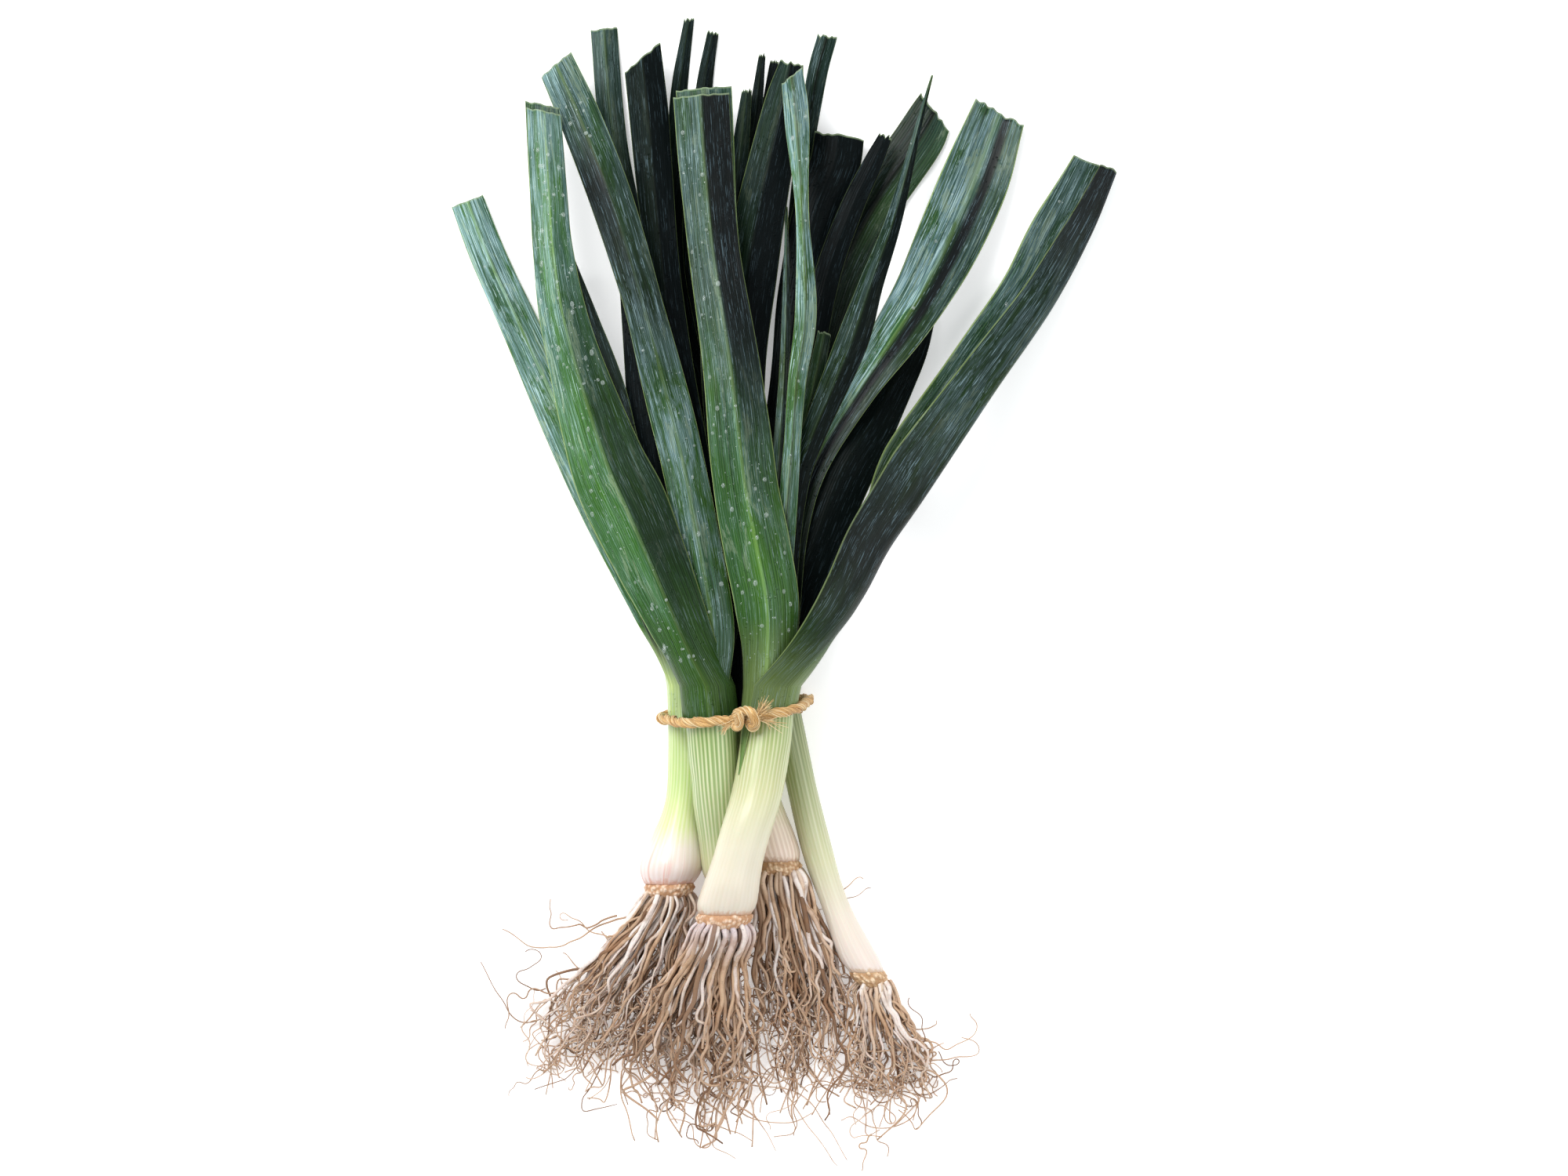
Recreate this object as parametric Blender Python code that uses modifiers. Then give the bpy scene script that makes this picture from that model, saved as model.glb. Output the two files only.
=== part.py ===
"""A bundle of five leeks held by one turn of twine, lying on its back on a surface.

The tie crosses at y = 0, the roots point to -Y and the leaves to +Y.  Every size is in metres.
Pieces are laid down one after another, each resting on those below it, as a bunch settles.
"""
import math

import bmesh
import bpy
import numpy as np
from mathutils import Vector

MM = 0.001

# Driving dimensions: reach of the leaves and of the roots from the tie, and sideways spread of the leaves
LEAF_REACH = 0.392
LEAF_SPREAD = 0.380
ROOT_REACH = 0.262

# Driving dimensions: the pieces
LEAF_THICKNESS = 0.0016
TWINE_DIAMETER = 0.0066
KNOT_DIAMETER = 0.0145
KNOT_LENGTH = 0.022
PLATE_DEPTH = 0.0085
SHAFT_RADIUS = {"a": 0.0095, "b": 0.0150, "c": 0.0147, "d": 0.0122, "e": 0.0088}
BULB_RADIUS = {"a": 0.0170, "b": 0.0125, "c": 0.0178, "d": 0.0160, "e": 0.0115}
PLATE_RADIUS = {"a": 0.0156, "b": 0.0105, "c": 0.0172, "d": 0.0125, "e": 0.0107}

# Clearances and fits
GAP = 0.0003
LEAF_GAP = 0.0006
ROOT_GAP = 0.0012
FLOOR_PRESS = 0.0008
PRESSED_FLAT_BELOW = 0.0015
LEAF_START = 0.0150
SHAFT_END = LEAF_START - 2 * GAP
TIE_HALF_BAND = 0.009
MAX_DROOP = 0.35
ROOT_DROP = 1.5
TIE_SLOPE = 0.12
TIE_TILT = 0.004
KNOT_PLACE = 0.003

# Fineness of the solids
RING_STEP = 0.010
RING_SIDES = 12
TWINE_POINTS = 56
LEAF_ROWS = 11
LEAF_COLUMNS = (-1.0, -0.6, -0.25, 0.0, 0.25, 0.6, 1.0)
MAP_CELL = 0.002

# The reach and spread that the routes below are drawn for
DRAWN_LEAF_REACH = 0.392
DRAWN_LEAF_SPREAD = 0.380
DRAWN_ROOT_REACH = 0.262

# Each shaft from its cut top to its root plate: (x, y, how far the radius has swollen to the bulb)
SHAFT_ROUTES = {
    "a": [(-31, 15, 0.0), (-31, 0, 0.0), (-30, -45, 0.1), (-35, -70, 0.55), (-38, -90, 1.0), (-39, -101, 0.85)],
    "d": [(3, 15, 0.0), (3, 0, 0.0), (11, -45, 0.1), (18, -70, 0.75), (21, -84, 1.0), (23, -88, 0.9)],
    "e": [(27, 15, 0.0), (28, 0, 0.0), (38, -45, 0.0), (50, -93, 0.3), (66, -134, 0.8), (76, -153, 0.95)],
    "b": [(-16, 15, 0.0), (-15, 0, 0.0), (-12, -45, 0.4), (-10, -72, 0.9), (-8, -94, 1.0), (-7, -99, 0.9)],
    "c": [(20, 15, 0.0), (18, 0, 0.0), (13, -45, 0.0), (4, -72, 0.3), (-2, -94, 0.8), (-5, -110, 1.0),
          (-6.5, -117, 0.95)],
}

# Each tangle of roots behind its plate: (x, y, half width, half height)
ROOT_ROUTES = {
    "a": [(-40, -112, 14, 9), (-58, -150, 25, 9), (-82, -195, 27, 6), (-94, -224, 15, 3)],
    "d": [(25, -98, 10, 8), (33, -140, 19, 8), (39, -190, 20, 6), (38, -232, 12, 3)],
    "e": [(78, -163, 9, 7), (87, -192, 20, 7), (92, -224, 23, 5), (90, -250, 13, 3)],
    "b": [(-7, -109, 9, 6), (-6, -135, 11, 4), (-8, -160, 9, 3)],
    "c": [(-8, -134, 14, 10), (-20, -165, 22, 9), (-28, -205, 29, 7), (-26, -240, 26, 5), (-22, -262, 15, 3)],
}


class Leaf:
    """One blade: its midrib seen from above, its half widths, and how its halves are folded."""

    def __init__(self, name, seat, route, halves, roof=(15, 15), tilt=(0, 0), slant=0.0, fold=(0.3, 0.3)):
        self.name = name
        self.plant = name[5]
        self.seat = seat
        self.route = route
        self.halves = halves
        self.roof = roof
        self.tilt = tilt
        self.slant = slant
        self.fold = fold


# The blades from the lowest to the topmost.  Routes and half widths are in millimetres, angles in
# degrees at the base and at the tip, and the seat is where the blade leaves its shaft, from -1 for
# the underside to 1 for the top.
LEAVES = [
    Leaf("leek_d_leaf_1", -0.9, [(3, 15), (0, 70), (-5, 150), (-18, 250), (-20, 320), (-18, 366), (-14, 397)],
         [8, 8, 8, 6, 6, 5, 3.5]),
    Leaf("leek_d_leaf_2", -0.7, [(2, 15), (-3, 60), (-15, 120), (-38, 250), (-36, 320), (-34, 362), (-28, 405)],
         [8, 8, 8, 5, 5, 5, 3]),
    Leaf("leek_d_leaf_3", -0.5, [(4, 15), (2, 60), (-2, 120), (-8, 200), (-6, 255), (14, 335), (22, 380)],
         [8, 9, 10, 9, 8, 4, 2.5]),
    Leaf("leek_d_leaf_4", -0.3, [(4, 15), (2, 60), (-4, 120), (-10, 200), (-8, 255), (8, 330), (15, 383)],
         [8, 9, 10, 9, 8, 5, 2]),
    Leaf("leek_d_leaf_5", -0.1, [(4, 15), (2, 60), (-4, 120), (-12, 200), (-10, 255), (0, 310), (6, 361)],
         [8, 9, 10, 9, 8, 6, 3]),
    Leaf("leek_e_leaf_1", -0.8, [(26, 15), (25, 70), (26, 140), (31, 210), (33, 250), (36, 300), (46, 367), (53, 395)],
         [7, 8, 8, 6, 5, 5, 6, 6]),
    Leaf("leek_e_leaf_2", -0.4, [(27, 15), (28, 60), (32, 120), (44, 195), (58, 250), (78, 292), (106, 333), (116, 350)],
         [8, 10, 12, 13, 14, 15, 15, 13], slant=-0.45),
    Leaf("leek_d_leaf_6", 0.1, [(4, 15), (8, 50), (17, 110), (27, 180), (36, 245), (46, 290), (57, 318), (60, 336)],
         [9, 11, 11, 9, 12, 14, 15, 15]),
    Leaf("leek_e_leaf_3", 0.0, [(27, 15), (27, 50), (29, 110), (40, 190), (52, 250), (66, 290), (78, 316), (87, 335)],
         [8, 9, 9, 9, 8, 7, 6, 4]),
    Leaf("leek_d_leaf_7", 0.3, [(3, 15), (3, 60), (0, 120), (-6, 200), (-2, 255), (11, 300), (25, 350), (32, 376)],
         [9, 10, 11, 11, 10, 11, 11, 6]),
    Leaf("leek_a_leaf_1", -0.6, [(-31, 15), (-31, 50), (-36, 100), (-45, 170), (-54, 240), (-68, 310), (-74, 350), (-78, 399)],
         [8, 10, 12, 12, 10, 8, 8, 8]),
    Leaf("leek_b_leaf_1", -0.4, [(-14, 15), (-16, 60), (-23, 120), (-34, 190), (-42, 250), (-48, 310), (-51, 345), (-55, 381)],
         [10, 11, 12, 11, 10, 11, 11.5, 11.5], slant=0.7),
    Leaf("leek_a_leaf_2", -0.1, [(-31, 15), (-36, 60), (-42, 110), (-50, 170), (-57, 225), (-66, 285)],
         [8, 10, 11, 11, 9, 5]),
    Leaf("leek_a_leaf_3", 0.3, [(-33, 15), (-42, 40), (-60, 80), (-84, 130), (-105, 177), (-122, 214), (-145, 264), (-158, 298)],
         [8, 9, 9, 9, 9, 8, 7, 6], roof=(25, 40)),
    Leaf("leek_c_leaf_1", -0.5, [(22, 15), (32, 60), (46, 100), (62, 140), (80, 170), (100, 207), (112, 232)],
         [10, 13, 15, 16, 14, 11, 5]),
    Leaf("leek_e_leaf_4", 0.4, [(27, 15), (28, 60), (33, 105), (45, 143), (71, 186), (108, 243), (136, 302), (154, 350)],
         [8, 9, 9, 9, 10.5, 17.5, 21, 17], roof=(-8, -22), slant=-0.2),
    Leaf("leek_e_leaf_5", 0.6, [(27, 15), (27, 50), (30, 100), (36, 150), (44, 185), (51, 219)],
         [7, 7, 6, 5, 5, 4]),
    Leaf("leek_e_leaf_6", 0.9, [(27, 15), (28, 80), (34, 130), (45, 161), (66, 211), (78, 247), (92, 287), (109, 352), (114, 370)],
         [7, 8, 8, 7.5, 10, 7.5, 5, 1.6, 0.5], roof=(15, 35)),
    Leaf("leek_a_leaf_4", 0.8, [(-33, 15), (-48, 70), (-62, 120), (-76, 180), (-90, 225), (-99, 262)],
         [8, 12, 14, 14, 11, 5]),
    Leaf("leek_c_leaf_2", -0.2, [(18, 15), (19, 40), (21, 90), (25, 150), (28, 200), (29, 250), (29, 293)],
         [8, 7, 5, 4, 3, 2, 0.6]),
    Leaf("leek_c_leaf_3", 0.1, [(18, 15), (22, 50), (28, 100), (32, 150), (35, 190), (40, 230), (38, 287), (35, 340), (32, 368)],
         [8, 8, 6, 5, 5.5, 6.5, 4, 7.5, 7], roof=(10, 20), tilt=(0, 10), slant=0.6),
    Leaf("leek_b_leaf_2", 0.1, [(-3, 15), (-4, 50), (-8, 85), (-12, 115)], [6, 6, 5, 3]),
    Leaf("leek_b_leaf_3", 0.6, [(-13, 15), (-13, 45), (-22, 100), (-31, 145), (-42, 190), (-55, 240), (-72, 295), (-90, 342), (-105, 376)],
         [12, 13, 13, 13, 13, 12, 13, 13, 12], roof=(12, 24), slant=0.3),
    Leaf("leek_c_leaf_4", 0.7, [(16, 15), (18, 57), (12, 94), (5, 132), (-3, 199), (-13, 264), (-18, 314), (-21, 357)],
         [14, 19.5, 20.5, 20, 17.7, 15.3, 16.5, 17], roof=(26, 18), tilt=(0, 8)),
    Leaf("leek_b_leaf_4", 1.0, [(-19, 15), (-37, 58), (-60, 111), (-76, 148), (-97, 218), (-105, 264), (-108, 300), (-111, 347)],
         [17, 21, 25, 24, 16, 13, 12, 11], roof=(30, 30), tilt=(8, -6)),
    Leaf("leek_c_leaf_5", 0.2,
         [(36, 15), (55, 39), (74, 68), (88, 94), (108, 123), (148, 183), (184, 235), (207, 278), (222, 315)],
         [(24, 3), (22, 6), (27, 12), (31, 22), (33, 36), (29, 37), (24, 36), (19, 36), (12, 28)],
         roof=(-82, -82), tilt=(90, 82), fold=(0.8, 0.22)),
]


def smooth_path(points, samples):
    """Points on a smooth curve through the given rows of numbers, evenly spaced by index."""
    rows = np.array(points, dtype=float)
    before = 2 * rows[0] - rows[1]
    after = 2 * rows[-1] - rows[-2]
    padded = np.vstack([before, rows, after])
    places = np.linspace(0, len(rows) - 1, samples)
    found = []
    for place in places:
        index = min(int(place), len(rows) - 2)
        t = place - index
        p0, p1, p2, p3 = padded[index:index + 4]
        found.append(0.5 * (2 * p1 + (p2 - p0) * t + (2 * p0 - 5 * p1 + 4 * p2 - p3) * t * t
                            + (3 * p1 - p0 - 3 * p2 + p3) * t ** 3))
    return np.array(found)


def even_path(points, samples):
    """The same curve, evenly spaced along its length seen from above."""
    dense = smooth_path(points, 16 * len(points))
    steps = np.hypot(np.diff(dense[:, 0]), np.diff(dense[:, 1]))
    along = np.concatenate([[0], np.cumsum(steps)])
    places = np.linspace(0, along[-1], samples)
    return np.column_stack([np.interp(places, along, dense[:, k]) for k in range(dense.shape[1])])


def material(name, colour, roughness):
    made = bpy.data.materials.new(name)
    made.use_nodes = True
    shader = made.node_tree.nodes["Principled BSDF"]
    shader.inputs["Base Color"].default_value = (*colour, 1)
    shader.inputs["Roughness"].default_value = roughness
    shader.inputs["Metallic"].default_value = 0
    made.diffuse_color = (*colour, 1)
    return made


def add_object(name, mesh_or_curve, its_material, smooth=True):
    made = bpy.data.objects.new(name, mesh_or_curve)
    bpy.data.collections["leek_bundle"].objects.link(made)
    made.data.materials.append(its_material)
    if smooth and made.type == "MESH":
        made.data.shade_smooth()
        made.data.set_sharp_from_angle(angle=math.radians(50))
    return made


def ring_solid(name, rings, its_material):
    """A closed loft through rings of (x, y, z) points, capped flat at both ends."""
    shape = bmesh.new()
    loops = [[shape.verts.new(point) for point in ring] for ring in rings]
    for one, other in zip(loops, loops[1:]):
        for k in range(len(one)):
            after = (k + 1) % len(one)
            shape.faces.new((one[k], one[after], other[after], other[k]))
    shape.faces.new(loops[0][::-1])
    shape.faces.new(loops[-1])
    bmesh.ops.recalc_face_normals(shape, faces=shape.faces)
    mesh = bpy.data.meshes.new(name)
    shape.to_mesh(mesh)
    shape.free()
    return add_object(name, mesh, its_material)


def round_ring(x, y, z, half_width, half_height):
    """An upright ring across the bundle, pressed flat where it would pass below the surface."""
    ring = []
    for k in range(RING_SIDES):
        turn = 2 * math.pi * (k + 0.5) / RING_SIDES
        height = z + half_height * math.sin(turn)
        ring.append((x + half_width * math.cos(turn), y, height if height > PRESSED_FLAT_BELOW else 0.0))
    return ring


def resting_height(x, radius, lower):
    """Height at which a round shaft rests on the surface or on the shafts below it."""
    height = radius - FLOOR_PRESS
    for lower_x, lower_z, lower_radius in lower:
        reach = radius + lower_radius + GAP
        aside = abs(x - lower_x)
        if aside < reach:
            height = max(height, lower_z + math.sqrt(reach ** 2 - aside ** 2))
    return height


def stiff_heights(places, needed):
    """The lowest line of a stiff shaft that is nowhere below the heights it needs."""
    heights = np.array(needed)
    for k in range(1, len(heights)):
        drop = MAX_DROOP * abs(places[k] - places[k - 1])
        heights[k] = max(heights[k], heights[k - 1] - drop)
    for k in range(1, len(heights) - 1):
        for left in range(k):
            for right in range(k + 1, len(heights)):
                share = (places[k] - places[left]) / (places[right] - places[left])
                heights[k] = max(heights[k], heights[left] * (1 - share) + heights[right] * share)
    return heights


def shaft_stations(plant):
    """(x, radius) of a shaft at each common step along the bundle, and the steps themselves."""
    route = np.array(SHAFT_ROUTES[plant], dtype=float)
    route[:, 1] *= np.where(route[:, 1] < 0, ROOT_REACH / DRAWN_ROOT_REACH, 1)
    curve = smooth_path(route, 12 * len(route))[::-1]
    end = route[-1, 1] * MM
    steps = [SHAFT_END, 0.008, 0.0]
    while steps[-1] - RING_STEP > end + RING_STEP / 2:
        steps.append(steps[-1] - RING_STEP)
    steps.append(end)
    y = np.array(steps)
    x = np.interp(y, curve[:, 1] * MM, curve[:, 0] * MM)
    swell = np.clip(np.interp(y, curve[:, 1] * MM, curve[:, 2]), 0, 1.02)
    radius = SHAFT_RADIUS[plant] + swell * (BULB_RADIUS[plant] - SHAFT_RADIUS[plant])
    return x, y, radius


def lay_shafts():
    """Each shaft's centre line and radius, the lower row first and the upper row resting on it."""
    laid = {}
    for plant in SHAFT_ROUTES:
        x, y, radius = shaft_stations(plant)
        needed = []
        for here_x, here_y, here_radius in zip(x, y, radius):
            lower = []
            for other in laid.values():
                if here_y >= other["y"][-1] - RING_STEP:
                    lower.append([np.interp(here_y, other["y"][::-1], other[k][::-1]) for k in ("x", "z", "radius")])
            height = resting_height(here_x, here_radius, lower)
            if abs(here_y) < TIE_HALF_BAND + RING_STEP:
                height = max(height, TWINE_DIAMETER + GAP + here_radius)
            needed.append(height)
        z = stiff_heights(y, needed)
        laid[plant] = {"x": x, "y": y, "z": z, "radius": radius}
    return laid


def build_shaft(plant, line, its_material):
    rings = []
    for x, y, z, radius in zip(line["x"], line["y"], line["z"], line["radius"]):
        rings.append(round_ring(x, y, z, radius, radius))
    return ring_solid(f"leek_{plant}_shaft", rings, its_material)


def build_plate(plant, line, its_material):
    """The short woody disc that closes a shaft and carries its roots."""
    x, y, z = line["x"][-1], line["y"][-1] - GAP, line["z"][-1]
    radius = min(PLATE_RADIUS[plant], line["radius"][-1])
    drift = (line["x"][-1] - line["x"][-3]) / (line["y"][-1] - line["y"][-3])
    rings = []
    for share, swell in ((0.0, 0.92), (0.35, 1.0), (0.75, 0.97), (1.0, 0.8)):
        deep = share * PLATE_DEPTH
        rings.append(round_ring(x - drift * deep, y - deep, z, radius * swell, radius * swell))
    return ring_solid(f"leek_{plant}_root_plate", rings, its_material)


class HeightMap:
    """The top of everything laid so far, on a grid seen from above."""

    def __init__(self):
        self.low = np.array([-0.30, -0.40])
        self.cells = np.zeros((320, 500))

    def index(self, x, y):
        column = np.clip(((x - self.low[0]) / MAP_CELL).astype(int), 1, self.cells.shape[0] - 2)
        row = np.clip(((y - self.low[1]) / MAP_CELL).astype(int), 1, self.cells.shape[1] - 2)
        return column, row

    def read(self, x, y):
        return self.cells[self.index(x, y)]

    def raise_to(self, x, y, z):
        column, row = self.index(x, y)
        for aside in (-1, 0, 1):
            for ahead in (-1, 0, 1):
                np.maximum.at(self.cells, (column + aside, row + ahead), z)


def between(grid, across, along):
    """Points inside each cell of a grid of numbers, by straight blending of its corners."""
    rows = np.linspace(0, 1, along)[:, None, None, None]
    columns = np.linspace(0, 1, across)[None, :, None, None]
    a, b, c, d = grid[:-1, :-1], grid[:-1, 1:], grid[1:, :-1], grid[1:, 1:]
    return (a * (1 - rows) + c * rows) * (1 - columns) + (b * (1 - rows) + d * rows) * columns


def settle(height_map, x, y, z, half_thick, seat):
    """How far each row of a sheet is lifted so that it rests on the map, and marks the sheet there."""
    across, along = 8, 16
    fx, fy = between(x, across, along), between(y, across, along)
    fz, thick = between(z, across, along), between(half_thick, across, along)
    below = height_map.read(fx, fy)
    need = (below + np.where(below > 0, LEAF_GAP, 0) + thick - fz).max(axis=(0, 1, 3))
    lift = np.maximum(np.append(need, need[-1]), np.insert(need, 0, need[0]))
    lift = np.maximum(lift, seat)
    padded = np.pad(lift, 1, mode="edge")
    widest = np.maximum(np.maximum(padded[:-2], padded[1:-1]), padded[2:])
    padded = np.pad(widest, 1, mode="edge")
    lift = np.maximum(lift, (padded[:-2] + padded[1:-1] + padded[2:]) / 3)
    top = between(z + lift[:, None] + half_thick, across, along)
    height_map.raise_to(fx.ravel(), fy.ravel(), top.ravel())
    return lift


def fold_section(left, right, roof, tilt, fold):
    """Sideways and upward places across a blade whose halves turn away from its midrib."""
    steps = np.linspace(0, 1, 33)
    found = {}
    for side, half in ((-1, left), (1, right)):
        v = side * steps
        angle = tilt - roof * np.tanh(v / fold)
        run = np.concatenate([[0], np.cumsum(np.cos(angle)[1:])]) * side * half / 32
        rise = np.concatenate([[0], np.cumsum(np.sin(angle)[1:])]) * side * half / 32
        found[side] = (run, rise)
    sideways, upward = [], []
    for column in LEAF_COLUMNS:
        run, rise = found[1 if column > 0 else -1]
        sideways.append(np.interp(abs(column), steps, run))
        upward.append(np.interp(abs(column), steps, rise))
    return np.array(sideways), np.array(upward)


def leaf_grid(leaf):
    """The blade's middle surface before it is lifted: x, y and z for each row and column."""
    stations = []
    for (x, y), half in zip(leaf.route, leaf.halves):
        front, back = half if isinstance(half, tuple) else (half, half)
        reach = LEAF_START / MM + (y - LEAF_START / MM) * LEAF_REACH / DRAWN_LEAF_REACH
        stations.append((x * LEAF_SPREAD / DRAWN_LEAF_SPREAD, reach, front, back))
    rows = even_path(stations, LEAF_ROWS) * MM
    ahead = np.gradient(rows[:, :2], axis=0)
    ahead /= np.linalg.norm(ahead, axis=1)[:, None]
    share = np.linspace(0, 1, LEAF_ROWS)
    base_blend = np.clip(share * 5, 0, 1)[:, None]
    normal = np.column_stack([ahead[:, 1], -ahead[:, 0]]) * base_blend
    normal += np.array([[1.0, 0.0]]) * (1 - base_blend)
    x, y, z = [], [], []
    for k in range(LEAF_ROWS):
        roof = math.radians(leaf.roof[0] + (leaf.roof[1] - leaf.roof[0]) * share[k])
        tilt = math.radians(leaf.tilt[0] + (leaf.tilt[1] - leaf.tilt[0]) * share[k])
        fold = leaf.fold[0] + (leaf.fold[1] - leaf.fold[0]) * min(1, 2.5 * share[k])
        sideways, upward = fold_section(rows[k, 3], rows[k, 2], roof, tilt, fold)
        forward = leaf.slant * sideways * share[k] ** 8
        x.append(rows[k, 0] + sideways * normal[k, 0] + forward * ahead[k, 0])
        y.append(rows[k, 1] + sideways * normal[k, 1] + forward * ahead[k, 1])
        z.append(upward)
    return np.array(x), np.array(y), np.array(z)


def leaf_half_thickness(x, y, z):
    """Half the blade's thickness measured straight up, larger where the blade is steep."""
    corner = np.stack([x, y, z], axis=-1)
    along = np.gradient(corner, axis=0)
    across = np.gradient(corner, axis=1)
    normal = np.cross(along, across)
    upright = np.abs(normal[..., 2]) / np.maximum(np.linalg.norm(normal, axis=-1), 1e-12)
    return 0.5 * LEAF_THICKNESS / np.maximum(upright, 0.4)


def build_leaf(leaf, height_map, shafts, its_material):
    x, y, z = leaf_grid(leaf)
    half_thick = leaf_half_thickness(x, y, z)
    line = shafts[leaf.plant]
    seat_height = line["z"][0] + leaf.seat * line["radius"][0]
    leaving = np.clip(np.linspace(0, 1, LEAF_ROWS) * 1.6, 0, 1)
    seat = seat_height * (1 - leaving * leaving * (3 - 2 * leaving))
    lift = settle(height_map, x, y, z, half_thick, seat)
    shape = bmesh.new()
    verts = [[shape.verts.new((x[r, c], y[r, c], z[r, c] + lift[r])) for c in range(x.shape[1])]
             for r in range(x.shape[0])]
    for r in range(x.shape[0] - 1):
        for c in range(x.shape[1] - 1):
            shape.faces.new((verts[r][c], verts[r][c + 1], verts[r + 1][c + 1], verts[r + 1][c]))
    mesh = bpy.data.meshes.new(leaf.name)
    shape.to_mesh(mesh)
    shape.free()
    made = add_object(leaf.name, mesh, its_material)
    solid = made.modifiers.new("thickness", "SOLIDIFY")
    solid.thickness = LEAF_THICKNESS
    solid.offset = 0
    return made


def build_roots(plant, shafts, height_map, its_material):
    """The plain outer form of one plant's roots, sloping from the root plate down to the surface."""
    line = shafts[plant]
    rows = even_path(ROOT_ROUTES[plant], 7)
    plate_end = line["y"][-1] - PLATE_DEPTH - 3 * GAP
    rows[:, 1] = plate_end / MM + (rows[:, 1] - rows[0, 1]) * ROOT_REACH / DRAWN_ROOT_REACH
    rows *= MM
    start = line["z"][-1]
    share = np.linspace(0, 1, len(rows))
    turns = np.array([2 * math.pi * (k + 0.5) / RING_SIDES for k in range(RING_SIDES)])
    rings, lifts = [], []
    for k, (x, y, half_width, half_height) in enumerate(rows):
        ring_x = x + half_width * np.cos(turns)
        under = -half_height * np.abs(np.sin(turns))
        below = height_map.read(ring_x, np.full(RING_SIDES, y))
        need = (below + np.where(below > 0, ROOT_GAP, 0) - under).max()
        held_up = (1 - min(1, share[k] * ROOT_DROP)) ** ROOT_DROP
        lifts.append(max(half_height + (start - half_height) * held_up, need))
    for (x, y, half_width, half_height), z in zip(rows, lifts):
        rings.append(round_ring(x, y, z, half_width, half_height))
    made = ring_solid(f"leek_{plant}_roots", rings, its_material)
    grid = np.array(rings)
    top = np.sort(grid[:, :, 2], axis=1)[:, -1:]
    width = np.linspace(-1, 1, 9)
    centre = rows[:, :1] + rows[:, 2:3] * width
    ahead = np.repeat(rows[:, 1:2], 9, axis=1)
    tops = np.repeat(top, 9, axis=1)
    height_map.raise_to(*(between(g, 4, 16).ravel() for g in (centre, ahead, tops)))
    return made


def tie_loop(shafts):
    """The twine's closed centre line, drawn tight around the five shafts, with its radius."""
    circles = []
    for line in shafts.values():
        for place in (-TIE_HALF_BAND, 0.0, TIE_HALF_BAND):
            circles.append([np.interp(place, line["y"][::-1], line[k][::-1]) for k in ("x", "z", "radius")])
    middle_x = sum(c[0] for c in circles) / len(circles)
    middle_z = sum(c[1] for c in circles) / len(circles)
    outward = TWINE_DIAMETER / 2 + GAP
    hull = []
    for turn in np.linspace(0, 2 * math.pi, 360, endpoint=False):
        aim = (math.cos(turn), math.sin(turn))
        x, z, radius = max(circles, key=lambda c: c[0] * aim[0] + c[1] * aim[1] + c[2])
        hull.append((x + (radius + outward) * aim[0], z + (radius + outward) * aim[1]))
    hull = np.array(hull + hull[:1])
    along = np.concatenate([[0], np.cumsum(np.hypot(*np.diff(hull, axis=0).T))])
    places = np.linspace(0, along[-1], TWINE_POINTS, endpoint=False)
    x = np.interp(places, along, hull[:, 0])
    z = np.interp(places, along, hull[:, 1])
    turn = np.arctan2(z - middle_z, x - middle_x)
    y = TIE_SLOPE * x - TIE_TILT * np.sin(turn)
    from_knot = np.where(z > middle_z, np.abs(x - KNOT_PLACE), KNOT_LENGTH)
    swell = np.clip(1 - (from_knot / (KNOT_LENGTH / 2)) ** 2, 0, 1) ** 0.5
    radius = TWINE_DIAMETER / 2 + swell * (KNOT_DIAMETER - TWINE_DIAMETER) / 2
    z += (radius - TWINE_DIAMETER / 2) * 1.05
    return x, y, z, radius


def build_twine(shafts, its_material):
    curve = bpy.data.curves.new("twine_tie", "CURVE")
    curve.dimensions = "3D"
    curve.bevel_depth = 1.0
    curve.bevel_resolution = 2
    spline = curve.splines.new("POLY")
    x, y, z, radius = tie_loop(shafts)
    spline.points.add(len(x) - 1)
    for k, point in enumerate(spline.points):
        point.co = (x[k], y[k], z[k], 1)
        point.radius = radius[k]
    spline.use_cyclic_u = True
    return add_object("twine_tie", curve, its_material)


def centre_on_origin():
    """Moves every piece so that the origin lies under the middle of the whole bundle."""
    seen = bpy.context.evaluated_depsgraph_get()
    corners = []
    for piece in bpy.data.collections["leek_bundle"].objects:
        shown = piece.evaluated_get(seen)
        corners.extend(shown.matrix_world @ Vector(corner) for corner in shown.bound_box)
    low = np.min(corners, axis=0)
    high = np.max(corners, axis=0)
    middle = (low + high) / 2
    for piece in bpy.data.collections["leek_bundle"].objects:
        piece.location = (-middle[0], -middle[1], -low[2])


def main():
    for old in list(bpy.data.objects):
        bpy.data.objects.remove(old, do_unlink=True)
    collection = bpy.data.collections.new("leek_bundle")
    bpy.context.scene.collection.children.link(collection)
    pale = material("shaft_pale_green", (0.62, 0.70, 0.40), 0.35)
    plate = material("root_plate_brown", (0.55, 0.40, 0.22), 0.7)
    root = material("root_tan", (0.58, 0.46, 0.30), 0.8)
    green = material("leaf_green", (0.10, 0.26, 0.10), 0.45)
    fibre = material("twine_fibre", (0.60, 0.42, 0.20), 0.85)
    shafts = lay_shafts()
    height_map = HeightMap()
    for plant, line in shafts.items():
        build_shaft(plant, line, pale)
        build_plate(plant, line, plate)
    for plant in shafts:
        build_roots(plant, shafts, height_map, root)
    for leaf in LEAVES:
        build_leaf(leaf, height_map, shafts, green)
    build_twine(shafts, fibre)
    centre_on_origin()


main()
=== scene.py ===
"""The looks of a tied bundle of leeks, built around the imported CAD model.

Shaft centre lines, root envelopes and the height of every leaf are read from the CAD nodes.  The
blades' routes, widths and folds are those that the CAD model uses.  Sizes are in metres.
"""
import math

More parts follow.
